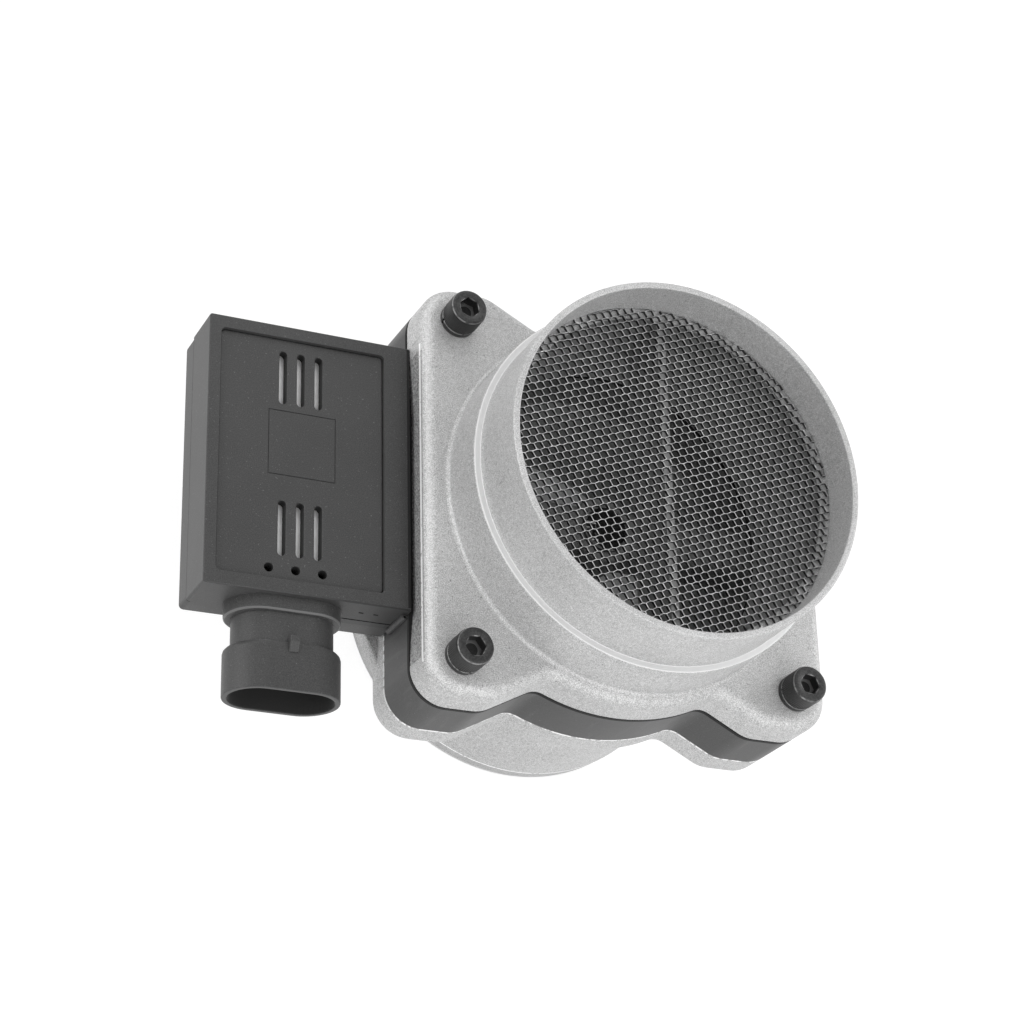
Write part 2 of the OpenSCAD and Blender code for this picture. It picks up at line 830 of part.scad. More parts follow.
// Bent post that carries one end of a sensing element, soldered to the board
module sensor_post(s, z) {
    x0 = cover_x + cover_l / 2 - ledge_w - 4;
    color("silver") {
        translate([x0, s * post_p / 2, z])
            rotate([0, 90, 0])
                cylinder(h = -x0 - 1, r = post_r, $fn = 24);
        translate([x0, s * post_p / 2, z_pad])
            cylinder(h = z - z_pad, r = post_r, $fn = 24);
        translate([x0, s * post_p / 2, z])
            sphere(r = post_r, $fn = 24);
    }
}

// Sensing element, a wire-wound bead between the tips of two posts
module element(z, r) {
    color("gainsboro")
        translate([-1.4, 0, z]) {
            rotate([90, 0, 0])
                cylinder(h = post_p - 2 * post_r, r = 0.2, $fn = 24, center = true);
            rotate([90, 0, 0])
                cylinder(h = 2.2, r = r, $fn = 32, center = true);
        }
}

// Circuit board on the four standoffs of the box
module circuit_board() {
    color("darkgreen")
        translate([cover_x, cover_y, z_board + board_t / 2])
            cube([cover_l - 2 * ledge_w - 0.6, cover_w - 2 * ledge_w - 0.6, board_t], center = true);
}

// Control chip with its rows of leads
module control_chip() {
    color("black")
        translate([cover_x - 2, cover_y + 8, z_pad]) {
            translate([-3.75, -5.2, 0.15])
                cube([7.5, 10.4, 2.3]);
            for (s = [-1, 1], i = [0:7])
                translate([s * 4.4 - 0.8, -4.65 + i * 1.27, 0])
                    cube([1.6, 0.42, 0.5]);
        }
}

// Power transistor with its tab soldered down
module power_transistor() {
    color("black")
        translate([cover_x + 9, cover_y + 18, z_pad]) {
            translate([-3.3, -3, 0])
                cube([6.6, 6.1, 2.3]);
            translate([-2.6, 3, 0])
                cube([5.2, 1.6, 0.6]);
            for (s = [-1, 1])
                translate([s * 2.3 - 0.4, -5.4, 0])
                    cube([0.8, 2.6, 0.6]);
        }
}

// Round filter capacitor on its square base
module filter_capacitor() {
    color("silver")
        translate([cover_x - 9, cover_y - 12, z_pad]) {
            translate([-2.7, -2.7, 0])
                cube([5.4, 5.4, 0.9]);
            cylinder(h = 5, r = 2.5, $fn = 48);
        }
}

// Flat terminal blade, from the socket through the wall onto its pad on the board
module terminal_blade(i) {
    color("goldenrod")
        translate([conn_x + i * blade_p, 0, conn_z - blade_t / 2])
            linear_extrude(height = blade_t)
                polygon([
                    [-blade_w / 2, cover_y - cover_w / 2 + ledge_w + 4],
                    [-blade_w / 2, conn_y3 + 5.5],
                    [-blade_w / 2 + 0.7, conn_y3 + 4.2],
                    [blade_w / 2 - 0.7, conn_y3 + 4.2],
                    [blade_w / 2, conn_y3 + 5.5],
                    [blade_w / 2, cover_y - cover_w / 2 + ledge_w + 4]
                ]);
}

// One screw, washer or sleeve at corner i
module at_corner(i) {
    translate([corners[i][0], corners[i][1], 0])
        children();
}

inlet_housing();
outlet_housing();
sensor_body();
electronics_cover();
honeycomb_screen();
at_corner(0) cap_screw();  // cap_screw_1
at_corner(1) cap_screw();  // cap_screw_2
at_corner(2) cap_screw();  // cap_screw_3
at_corner(3) cap_screw();  // cap_screw_4
at_corner(0) lock_washer(200);  // lock_washer_1
at_corner(1) lock_washer(285);  // lock_washer_2
at_corner(2) lock_washer(20);  // lock_washer_3
at_corner(3) lock_washer(110);  // lock_washer_4
at_corner(0) spacer_sleeve();  // spacer_sleeve_1
at_corner(1) spacer_sleeve();  // spacer_sleeve_2
at_corner(2) spacer_sleeve();  // spacer_sleeve_3
at_corner(3) spacer_sleeve();  // spacer_sleeve_4
seal(z_top - groove_d);  // inlet_seal
seal(z_ring);  // outlet_seal
sampling_tube();
element(pair_z[1], 0.45);  // hot_element
element(pair_z[0], 0.6);  // reference_element
sensor_post(-1, pair_z[0]);  // sensor_post_1
sensor_post(1, pair_z[0]);  // sensor_post_2
sensor_post(-1, pair_z[1]);  // sensor_post_3
sensor_post(1, pair_z[1]);  // sensor_post_4
circuit_board();
control_chip();
power_transistor();
filter_capacitor();
shield_plate();
terminal_blade(-1);  // terminal_blade_1
terminal_blade(0);  // terminal_blade_2
terminal_blade(1);  // terminal_blade_3
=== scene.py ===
# %% [markdown]
# # A hot-wire mass airflow sensor
# Two cast aluminium housings clamp a black moulded ring. The ring carries an electronics box on one
# side with a flat connector, and a bridge with the hot wire across the bore. A fine honeycomb
# covers the inlet. The imported CAD model gives every size and place, and Blender the surfaces.
# The frame is loaded first.

# %% Load the frame
import math
import bpy
import bmesh
from mathutils import Matrix, Vector


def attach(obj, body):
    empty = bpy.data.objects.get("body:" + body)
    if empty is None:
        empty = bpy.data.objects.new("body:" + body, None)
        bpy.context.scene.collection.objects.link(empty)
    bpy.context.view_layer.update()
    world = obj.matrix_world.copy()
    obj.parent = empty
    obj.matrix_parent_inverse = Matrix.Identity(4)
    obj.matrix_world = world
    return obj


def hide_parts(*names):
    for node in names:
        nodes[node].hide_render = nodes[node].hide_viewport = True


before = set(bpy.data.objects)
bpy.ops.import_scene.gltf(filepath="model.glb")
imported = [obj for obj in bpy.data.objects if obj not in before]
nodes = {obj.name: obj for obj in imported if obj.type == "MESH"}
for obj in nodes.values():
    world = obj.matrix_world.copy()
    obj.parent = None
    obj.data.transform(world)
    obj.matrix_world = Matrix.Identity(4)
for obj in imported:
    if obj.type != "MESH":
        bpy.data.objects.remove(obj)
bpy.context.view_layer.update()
print("nodes:", len(nodes))

# %% [markdown]
# ## Sizes that several pieces share
# Sizes are written in millimetres, and MM turns them into Blender's metres. Heights are measured up
# the bore's axis, from the outlet's end. Modelling and finishes both read them, so that a painted
# highlight on an edge or painted shade in a joint stays where the piece has it.

# %% Heights, radii and the box
MM = 0.001
Z_OUT, Z_RING, Z_TOP, Z_FLANGE = 32.2, 41.8, 57.2, 67.6
Z_LEDGE, Z_SCREEN, Z_END = 82.2, 90.1, 100.5
SPIGOT_R, MOUTH_R, BORE_R, COLLAR_R = 44.0, 42.4, 40.0, 45.6
RELIEF_H = 7.4
SCREW_X, SCREW_Y, SCREW_Y2, LOBE_R = 42.7, 42.5, 40.5, 8.85
WASHER_T, HEAD_H = 1.5, 5.9
SIDE_X = SCREW_X + LOBE_R
BOX_X0, BOX_X1, BOX_Y0, BOX_Y1 = -101.05, -SIDE_X, -29.6, 37.4
Z_FRONT, Z_PART, Z_BACK = 59.0, 46.5, 40.2
Z_COVER, Z_SEAT, Z_FLOOR = 58.1, 55.4, 43.2
CONN_X, CONN_Z = BOX_X0 + 21.9, 49.2
z_head = Z_FLANGE + WASHER_T
z_relief = Z_TOP + RELIEF_H
print("box of the electronics:", round(BOX_X1 - BOX_X0, 2), "by", round(BOX_Y1 - BOX_Y0, 2), "mm")

# %% [markdown]
# ## Camera
# The photograph was matched by measuring its ellipses: the rim, the ledge and the flange give one
# camera. A long lens (90 mm on a 36 mm sensor) stands 66 cm away, high up and toward the connector.
# Its three axes are written as a matrix, because Blender's camera looks along its own -Z.

# %% Place the camera
FOCAL_PX, PHOTO_PX, SENSOR = 2548.63, 1020, 36.0
CAMERA_PLACE = Vector((-0.2558, -0.2449, 0.5570))
right = Vector((0.9122, -0.0228, 0.4091)).normalized()
down = Vector((0.1476, -0.9131, -0.3802)).normalized()
forward = Vector((0.3822, 0.4072, -0.8295)).normalized()

camera_data = bpy.data.cameras.new("photo_camera")
camera_data.sensor_width = SENSOR
camera_data.lens = FOCAL_PX / PHOTO_PX * SENSOR
camera_data.clip_start = 0.02
camera = bpy.data.objects.new("photo_camera", camera_data)
bpy.context.scene.collection.objects.link(camera)
camera.matrix_world = Matrix((
    (right.x, -down.x, -forward.x, CAMERA_PLACE.x),
    (right.y, -down.y, -forward.y, CAMERA_PLACE.y),
    (right.z, -down.z, -forward.z, CAMERA_PLACE.z),
    (0, 0, 0, 1),
))
bpy.context.scene.camera = camera
print("lens:", round(camera_data.lens, 2), "mm")

# %% [markdown]
# ## Studio
# A pale floor lies just under the part, and the world is a plain soft dome. Camera rays see the
# floor and the dome as white, and all other rays see them at a plain level, so that the white
# background adds no light to the part. The floor keeps the shadow.

# %% Helpers for selecting and placing
def clear_selection():
    if bpy.context.object and bpy.context.object.mode != "OBJECT":
        bpy.ops.object.mode_set(mode="OBJECT")
    bpy.ops.object.select_all(action="DESELECT")


def take(piece):
    clear_selection()
    bpy.context.view_layer.objects.active = piece
    piece.select_set(True)
    return piece


def settle(piece):
    """Puts the piece's place into its mesh, so that its object sits at the origin."""
    take(piece)
    bpy.ops.object.transform_apply(location=True, rotation=True, scale=True)
    return piece


print("helpers ready")

# %% White for the camera alone
UNDER_PART_R, FAINT = 44.8, 0.05


def maths_node(tree, operation, first, second):
    """A Math node on two sockets or numbers. The result is its output socket."""
    made = tree.nodes.new("ShaderNodeMath")
    made.operation = operation
    for socket, value in zip(made.inputs, (first, second)):
        if isinstance(value, bpy.types.NodeSocket):
            tree.links.new(value, socket)
        else:
            socket.default_value = value
    return made.outputs[0]


def camera_sees_white(tree, plain, white, clear_middle=False):
    """Shows white to camera, mirror and glass rays, and the plain shader to all others."""
    path = tree.nodes.new("ShaderNodeLightPath")
    mask = path.outputs["Is Camera Ray"]
    for ray in ("Is Glossy Ray", "Is Transmission Ray"):
        mask = maths_node(tree, "MAXIMUM", mask, path.outputs[ray])
    if clear_middle:
        # Under the part only a faint trace is left, so that no white shows up through the bore
        place = tree.nodes.new("ShaderNodeTexCoord").outputs["Object"]
        away = tree.nodes.new("ShaderNodeVectorMath")
        away.operation = "LENGTH"
        tree.links.new(place, away.inputs[0])
        outside = maths_node(tree, "GREATER_THAN", away.outputs["Value"], UNDER_PART_R * MM)
        mask = maths_node(tree, "MINIMUM", mask, maths_node(tree, "MAXIMUM", outside, FAINT))
    mix = tree.nodes.new("ShaderNodeMixShader")
    tree.links.new(mask, mix.inputs["Fac"])
    tree.links.new(plain, mix.inputs[1])
    tree.links.new(white, mix.inputs[2])
    return mix.outputs[0]


print("switch for camera rays ready")

# %% The dome
DOME = 0.55
world = bpy.data.worlds.new("studio_dome")
bpy.context.scene.world = world
world.use_nodes = True
tree = world.node_tree
tree.nodes.clear()
out = tree.nodes.new("ShaderNodeOutputWorld")
plain = tree.nodes.new("ShaderNodeBackground")
shown = tree.nodes.new("ShaderNodeBackground")
for background, strength in ((plain, DOME), (shown, 1.0)):
    background.inputs["Color"].default_value = (1, 1, 1, 1)
    background.inputs["Strength"].default_value = strength
dome = camera_sees_white(tree, plain.outputs[0], shown.outputs[0])
tree.links.new(dome, out.inputs["Surface"])
print("dome at", DOME)

# %% The floor
clear_selection()
bpy.ops.mesh.primitive_plane_add(size=3.0, location=(0, 0, -0.5 * MM))
floor = settle(bpy.context.object)
floor.name = "studio_floor"
paper = bpy.data.materials.new("floor_paper")
paper.use_nodes = True
tree = paper.node_tree
shader = tree.nodes["Principled BSDF"]
shader.inputs["Base Color"].default_value = (0.86, 0.86, 0.86, 1)
shader.inputs["Roughness"].default_value = 0.9
shader.inputs["Specular IOR Level"].default_value = 0.1
veil = tree.nodes.new("ShaderNodeBsdfDiffuse")
veil.inputs["Color"].default_value = (0.3, 0.3, 0.3, 1)
glow = tree.nodes.new("ShaderNodeEmission")
glow.inputs["Color"].default_value = (1, 1, 1, 1)
glow.inputs["Strength"].default_value = 0.8
both = tree.nodes.new("ShaderNodeAddShader")
tree.links.new(veil.outputs[0], both.inputs[0])
tree.links.new(glow.outputs[0], both.inputs[1])
surface = camera_sees_white(tree, shader.outputs[0], both.outputs[0], clear_middle=True)
tree.links.new(surface, tree.nodes["Material Output"].inputs["Surface"])
floor.data.materials.append(paper)
print("floor ready")


# %% The lamps
def soft_lamp(name, place, aim, size, power):
    data = bpy.data.lights.new(name, "AREA")
    data.shape = "SQUARE"
    data.size = size
    data.energy = power
    lamp = bpy.data.objects.new(name, data)
    lamp.location = place
    lamp.rotation_euler = (Vector(aim) - Vector(place)).to_track_quat("-Z", "Y").to_euler()
    bpy.context.scene.collection.objects.link(lamp)
    return lamp


soft_lamp("key_softbox", (0.15, -0.75, 0.60), (0, 0, 0.06), 0.8, 4.2)
soft_lamp("left_softbox", (-0.85, 0.05, 0.30), (0, 0, 0.05), 0.6, 2.9)
soft_lamp("back_softbox", (-0.10, 0.75, 0.60), (0, 0, 0.06), 0.6, 1.6)
soft_lamp("right_softbox", (0.80, 0.15, 0.40), (0, 0, 0.05), 0.6, 2.2)
view = bpy.context.scene.view_settings
view.view_transform = "Standard"
print("studio ready")

# %% [markdown]
# ## Shader maths
# A small class wraps a node's socket, so that a mask or a bump is written as plain maths. A mask
# reads its place in millimetres, so that it uses the same sizes as the pieces.

# %% The wrapped socket
class Wire:
    """One output socket. Plus, minus and times add a Math node, and so do the tests."""

    def __init__(self, finish, socket):
        self.finish, self.socket = finish, socket

    def maths(self, operation, *values):
        return self.finish.node("ShaderNodeMath", {"operation": operation}, dict(enumerate(values)))

    def __add__(self, other): return self.maths("ADD", self, other)
    def __sub__(self, other): return self.maths("SUBTRACT", self, other)
    def __mul__(self, other): return self.maths("MULTIPLY", self, other)
    def __radd__(self, other): return self.maths("ADD", other, self)
    def __rsub__(self, other): return self.maths("SUBTRACT", other, self)
    def __rmul__(self, other): return self.maths("MULTIPLY", other, self)
    def above(self, edge): return self.maths("GREATER_THAN", self, edge)
    def below(self, edge): return self.maths("LESS_THAN", self, edge)
    def near(self, value, reach): return self.maths("COMPARE", self, value, reach)
    def power(self, n): return self.maths("POWER", self, n)
    def size(self): return self.maths("ABSOLUTE", self)
    def least(self, bottom): return self.maths("MAXIMUM", self, bottom)
    def ramp(self, low, high):
        """0 below low, 1 above high and a smooth rise between them."""
        return self.finish.node("ShaderNodeMapRange", {"interpolation_type": "SMOOTHSTEP"},
                                {"Value": self, "From Min": low, "From Max": high})


print("socket maths ready")


# %% The finish
class Finish:
    """One material: a Principled shader with constants on its sockets and nodes for what varies."""

    def __init__(self, name, **constants):
        self.material = bpy.data.materials.new(name)
        self.material.use_nodes = True
        self.tree = self.material.node_tree
        self.shader = self.tree.nodes["Principled BSDF"]
        for key, value in constants.items():
            self.shader.inputs[key.replace("_", " ")].default_value = value
        self.place = self.node("ShaderNodeTexCoord", {}, {}, "Object")

    def node(self, kind, settings, sockets, output=0):
        made = self.tree.nodes.new(kind)
        for key, value in settings.items():
            setattr(made, key, value)
        for key, value in sockets.items():
            if isinstance(value, Wire):
                self.tree.links.new(value.socket, made.inputs[key])
            else:
                made.inputs[key].default_value = value
        return Wire(self, made.outputs[output])

    def noise(self, scale, detail=2.0, roughness=0.5, place=None):
        return self.node("ShaderNodeTexNoise", {"noise_dimensions": "3D"},
                         {"Vector": place or self.place, "Scale": scale, "Detail": detail,
                          "Roughness": roughness}, "Fac")

    def blend(self, mask, first, second):
        """Colour between first, where the mask is 0, and second, where it is 1."""
        return self.node("ShaderNodeMix", {"data_type": "RGBA"}, {0: mask, 6: first, 7: second}, 2)

    def axes(self):
        """The place on the part along x, y and z, in mm."""
        in_mm = self.node("ShaderNodeVectorMath", {"operation": "SCALE"},
                          {"Vector": self.place, "Scale": 1 / MM})
        split = self.node("ShaderNodeSeparateXYZ", {}, {"Vector": in_mm})
        return [Wire(self, axis) for axis in split.socket.node.outputs]

    def bump(self, height, distance, strength):
        return self.node("ShaderNodeBump", {},
                         {"Height": height, "Distance": distance, "Strength": strength})

    def feed(self, **wires):
        for key, wire in wires.items():
            self.tree.links.new(wire.socket, self.shader.inputs[key.replace("_", " ")])
        return self


def distance(a, b):
    """How far a place is from a middle, from its two offsets."""
    return (a * a + b * b).power(0.5)


def grey(value):
    return (value, value, value, 1)


print("finish class ready")

# %% [markdown]
# ## Cast aluminium
# The housings are sand cast and shot blasted: a pale grey with a strong grain about 0.3 mm across,
# small pits and wide soft clouds. Masks made from the place on the part add a bright turned ledge
# and painted light and shade: a painted highlight along the flash that a mould edge left over the
# relief, painted shade on the relief's rough floor and in a thin band above the flash, a painted
# highlight on the flange's rounded edge, painted highlights where the outlet tube's taper starts
# and on the outlet flange's edge, and painted shade on the tube's tapered end. The bore lies in the
# dark behind the screen and is soot grey, and the rib in it a darker grey.

# %% Cast aluminium finish
def cast_aluminium():
    f = Finish("cast_aluminium", Metallic=0.4, Specular_IOR_Level=0.5)
    x, y, z = f.axes()
    r = distance(x, y)
    grain = f.noise(4200, 2.0, 0.7)
    mottle = f.noise(900, 2.0, 0.5)
    cloud = f.noise(45, 3.0, 0.5)
    # A turned surface is a little smoother than a cast one
    rough_part = 1.0 - z.above(Z_LEDGE - 0.7) * 0.2
    tone = 0.5 + ((grain - 0.5) * 2.6 + (mottle - 0.5) * 0.4) * rough_part + (cloud - 0.5) * 0.3
    colour = f.blend(tone.ramp(0.05, 0.95), grey(0.32), grey(0.70))
    pits = f.noise(1500, 1.0, 0.5).below(0.27) * rough_part
    colour = f.blend(pits * 0.6, colour, grey(0.16))

    # The relief in the flange's wall: painted shade on its rough floor, a painted highlight along
    # the flash above it, and painted shade in a thin band over that highlight
    box_side = x.below(-SIDE_X + 1.55)
    shade = z.near(z_relief + 1.0, 0.20) * box_side * y.near(-4.0, 38.0)
    colour = f.blend(shade * 0.5, colour, grey(0.22))
    # Painted highlight on the flange's rounded upper edge, beside the box
    rounding_highlight = z.ramp(Z_FLANGE - 1.2, Z_FLANGE - 0.8) * z.ramp(Z_FLANGE - 0.05, Z_FLANGE - 0.4)
    colour = f.blend(rounding_highlight * x.below(-SIDE_X + 4.55) * 0.2, colour, grey(0.80))
    # Painted shade on the relief's floor, broken up by a coarse rough pattern
    relief_floor_shade = (x.near(-SIDE_X + 0.75, 0.85) * z.near(z_relief - 4.0, 4.0)
                    * y.near(-4.0, 38.5))
    coarse = f.noise(1900, 3.0, 0.7).ramp(0.38, 0.62)
    colour = f.blend(relief_floor_shade * coarse * 0.85, colour, grey(0.12))
    # Painted highlight along the relief's lip, where a casting flash runs
    flash_highlight = (z.near(z_relief + 0.4, 0.36) * box_side * mottle.ramp(0.28, 0.42)
             * y.near(-4.0, 40.0))

    # Painted highlights where the outlet tube's taper starts and on the outlet flange's edge, the
    # bright turned ledge, painted shade on the tube's end, and the bore and the rib
    taper_highlight = z.near(3.6, 0.22) * r.above(SPIGOT_R) * mottle.ramp(0.30, 0.42)
    lip_highlight = z.near(Z_RING - 0.2, 0.22) * r.above(COLLAR_R + 1.4) * mottle.ramp(0.40, 0.52)
    colour = f.blend(flash_highlight + taper_highlight + lip_highlight, colour, grey(0.93))
    ledge = z.near(Z_LEDGE, 0.12) * r.above(SPIGOT_R - 0.1)
    colour = f.blend(ledge, colour, grey(0.72))
    # Painted shade on the tube's tapered end, which faces down
    colour = f.blend(z.below(3.4) * 0.35, colour, grey(0.30))
    inside = r.below(BORE_R + 0.2) + r.below(MOUTH_R + 0.7) * z.below(Z_OUT - 0.4)
    colour = f.blend(inside, colour, grey(0.58))
    rib = x.near(0.0, 1.4) * z.above(72.0) * r.below(BORE_R - 0.2)
    colour = f.blend(rib, colour, grey(0.42))
    f.feed(Base_Color=colour, Roughness=0.55 + (grain - 0.5) * 0.3 + inside * 0.3,
           Normal=f.bump(grain + mottle * 0.6, 0.12 * MM, 0.5))
    return f.material


cast = cast_aluminium()
print("made:", cast.name)

# %% [markdown]
# ## Moulded plastic
# The mouldings are black with a fine grain and a few specks of dust. The ring has pale smears along
# its height. Where light hardly gets in, painted shade darkens the colour, and mostly roughens it
# too:
# in the joints, in the grooves where the mould parts, in the room under the cover, in the socket,
# under the cover's face, along the box's front edge next to the ring and on the box's wall beside
# the connector. A painted highlight runs along the connector's collar.

# %% Moulded plastic finish
def body_shades(f, colour, x, y, z):
    """Smears, painted shade and a painted highlight on the centre moulding. The result is the
    colour, and how far light is kept out.
    """
    tall = f.node("ShaderNodeMapping", {}, {"Vector": f.place, "Scale": (1, 1, 0.2)})
    smear = f.noise(420, 3.0, 0.6, tall).ramp(0.55, 0.72) * x.above(BOX_X1 - 0.45)
    colour = f.blend(smear * 0.35, colour, grey(0.085))
    # Painted shade on the front half of the box's wall on the connector's side
    under_shade = y.near(BOX_Y0 + 0.1, 0.2) * x.below(BOX_X1 - 0.15) * z.above(Z_PART + 0.1)
    colour = f.blend(under_shade * x.ramp(-90.0, -64.0) * 0.8, colour, grey(0.010))
    # Painted highlight along the edge of the connector's collar
    collar_lip_highlight = y.near(-32.9, 0.22) * x.below(-60.0)
    colour = f.blend(collar_lip_highlight * 0.8, colour, grey(0.14))

    # Painted shade in the socket, which is the shroud's oval, a little smaller
    end = ((x - CONN_X).size() - 5.4).least(0.0)
    socket = distance(end, z - CONN_Z).below(7.0) * y.near(-46.0, 5.6)
    colour = f.blend(socket, colour, grey(0.010))
    bore = distance(x, y).below(BORE_R + 0.2) * z.near((Z_RING + Z_TOP) / 2, 8.0)
    colour = f.blend(bore, colour, grey(0.24))

    # Painted shade in the parting grooves, in the room under the cover, in the joint under the
    # inlet flange and along the box's front edge next to the ring
    left_parting_shade = z.near(Z_PART, 0.30) * x.below(BOX_X0 + 1.05) * y.above(BOX_Y0 - 0.1)
    front_parting_shade = z.near(CONN_Z, 0.28) * y.near(BOX_Y0 + 0.2, 0.18) * x.near(-59.0, 6.2)
    room_shade = (z.below(Z_TOP) * x.near(-78.1, 19.9) * y.near(4.0, 30.1)
            * z.above(Z_FLOOR - 0.2))
    joint_shadow = z.near(Z_TOP - 0.4, 0.7) * x.above(-SIDE_X - 0.05)
    corner = x.near(BOX_X1 - 0.35, 0.45) * z.above(Z_FRONT - 1.6) * y.near(4.0, 33.0)
    painted_shade = room_shade + joint_shadow + left_parting_shade + front_parting_shade + corner * 0.9
    colour = f.blend(painted_shade, colour, grey(0.003))
    return colour, painted_shade + socket * 0.5


def moulded_plastic(name, low, high, part=""):
    f = Finish(name, Specular_IOR_Level=0.5, Sheen_Weight=0.15, Sheen_Roughness=0.4)
    grain = f.noise(4200, 2.0, 0.6)
    cloud = f.noise(70, 3.0, 0.5)
    tone = 0.5 + (grain - 0.5) * 2.4 + (cloud - 0.5) * 0.4
    colour = f.blend(tone.ramp(0.1, 0.9), grey(low), grey(high))
    dust = f.noise(2300, 2.0, 0.6).ramp(0.66, 0.74)
    colour = f.blend(dust * 0.55, colour, grey(high * 3.5))
    roughness = 0.52 + (grain - 0.5) * 0.2
    if part == "body":
        colour, painted_shade = body_shades(f, colour, *f.axes())
        roughness = roughness + painted_shade * 0.45
    if part == "cover":
        # Painted shade below the cover's face: in its slots, vents and line and on its sides
        painted_shade = f.axes()[2].below(Z_COVER - 0.22)
        colour = f.blend(painted_shade, colour, grey(0.002))
        roughness = roughness + painted_shade * 0.45
    f.feed(Base_Color=colour, Roughness=roughness, Normal=f.bump(grain, 0.06 * MM, 0.4))
    return f.material


plastic = moulded_plastic("black_moulding", 0.025, 0.050, "body")
cover_plastic = moulded_plastic("cover_moulding", 0.025, 0.050, "cover")
rubber = moulded_plastic("seal_rubber", 0.018, 0.03)
resin = moulded_plastic("chip_resin", 0.02, 0.035)
board = moulded_plastic("board_lacquer", 0.03, 0.05)
print("made:", plastic.name, cover_plastic.name, rubber.name, resin.name, board.name)

# %% [markdown]
# ## Steel, foil and the small parts
# Black oxide on the screws is a thin dark skin. Its colour is lighter on the rim of the head, on
# the socket's floor and on the washer's edge, and darker on the head's side. The screen's foil
# keeps its bright colour on its upper edge, and painted shade makes it dark below.
# The board, the chips and the contacts get plain finishes with a fine grain.

# %% Metal finish with a fine grain
def fine_metal(name, low, high, rough, metallic=1.0, scale=2500, part=""):
    f = Finish(name, Metallic=metallic)
    grain = f.noise(scale, 2.0, 0.6)
    colour = f.blend(grain.ramp(0.3, 0.7), low, high)
    if part == "screw":
        x, y, z = f.axes()
        z_tip = z_head + HEAD_H
        patchy = f.noise(700, 2.0, 0.6).ramp(0.30, 0.55)
        rim = z.near(z_tip - 0.34, 0.17) * patchy
        across = x.size() - SCREW_X
        along = y.size() - SCREW_Y + x.above(0.0) * (SCREW_Y - SCREW_Y2)
        socket_floor = z.near(z_tip - 3.0, 0.05) * distance(across, along).below(3.0)
        washer_edge = z.near(z_head - 0.05, 0.08) * patchy
        colour = f.blend(rim * 0.55 + socket_floor + washer_edge * 0.7, colour, grey(0.34))
        side = z.below(z_tip - 0.8) * z.above(z_head + 0.1)
        colour = f.blend(side * 0.45, colour, grey(0.02))
    if part == "screen":
        # Painted shade: the foil is dark below its upper edge
        upper_edge = f.axes()[2].ramp(Z_SCREEN - 0.14, Z_SCREEN - 0.02)
        colour = f.blend(upper_edge, grey(0.09), colour)
    f.feed(Base_Color=colour, Roughness=rough + (grain - 0.5) * 0.2,
           Normal=f.bump(grain, 0.03 * MM, 0.3))
    return f.material


steel = fine_metal("black_oxide_steel", grey(0.03), grey(0.06), 0.42, 0.6, 2500, "screw")
foil = fine_metal("screen_foil", grey(0.28), grey(0.66), 0.4, 1.0, 1400, "screen")
dull = fine_metal("sensing_metal", grey(0.14), grey(0.20), 0.6)
plated = fine_metal("plated_steel", grey(0.5), grey(0.66), 0.35)
sheet = fine_metal("rolled_sheet", grey(0.86), grey(0.95), 0.4, 0.4, 500)
brass = fine_metal("contact_metal", (0.62, 0.50, 0.28, 1), (0.78, 0.64, 0.38, 1), 0.3)
print("finishes:", len(bpy.data.materials))

# %% [markdown]
# ## Modelling tools
# Most pieces start as a point that is extruded along an outline, as one does by hand with E and a
# typed distance. The outline is then filled and extruded into a plate, or spun into a turned part.
# Faces and edges are picked by a test on their place, so that each step says what it works on.

# %% Pick by place, and draw outlines
SAME_POINT = 1e-6


def pick(piece, mode, test):
    """Selects the vertices, edges or faces of the piece in edit mode for which test is true."""
    if piece.mode != "EDIT":
        take(piece)
        bpy.ops.object.mode_set(mode="EDIT")
    bpy.ops.mesh.select_mode(type=mode)
    bpy.ops.mesh.select_all(action="DESELECT")
    mesh = bmesh.from_edit_mesh(piece.data)
    mesh.normal_update()
    items = {"VERT": mesh.verts, "EDGE": mesh.edges, "FACE": mesh.faces}[mode]
    count = 0
    for item in items:
        if test(item):
            item.select_set(True)
            count += 1
    mesh.select_flush_mode()
    bmesh.update_edit_mesh(piece.data)
    return count


def done(piece):
    if piece.mode == "EDIT":
        bpy.ops.object.mode_set(mode="OBJECT")
    return piece


def middle(edge):
    return (edge.verts[0].co + edge.verts[1].co) / 2


def draw(name, points, closed=True):
    """A new piece made of one line of edges, extruded from point to point. Points are in mm."""
    clear_selection()
    first = Vector(points[0]) * MM
    bpy.ops.mesh.primitive_plane_add(size=0.001, location=first)
    piece = bpy.context.object
    piece.name = piece.data.name = name
    settle(piece)
    bpy.ops.object.mode_set(mode="EDIT")
    bpy.ops.mesh.select_mode(type="VERT")
    bpy.ops.mesh.select_all(action="SELECT")
    bpy.ops.mesh.merge(type="CENTER")
    for a, b in zip(points, points[1:]):
        step = (Vector(b) - Vector(a)) * MM
        bpy.ops.mesh.extrude_region_move(TRANSFORM_OT_translate={"value": step})
    if closed:
        step = (Vector(points[0]) - Vector(points[-1])) * MM
        bpy.ops.mesh.extrude_region_move(TRANSFORM_OT_translate={"value": step})
        bpy.ops.mesh.select_all(action="SELECT")
        bpy.ops.mesh.remove_doubles(threshold=SAME_POINT)
    return piece


print("picking and drawing ready")


# %% Spin, raise, round and cut
def turned(name, profile, steps=192, closed=True):
    """A turned piece: a line of (radius, height) points in mm, spun round the bore's axis."""
    piece = draw(name, [(r, 0, z) for r, z in profile], closed)
    bpy.ops.mesh.select_all(action="SELECT")
    bpy.ops.mesh.spin(steps=steps, angle=math.tau, center=(0, 0, 0), axis=(0, 0, 1))
    return tidy(piece)


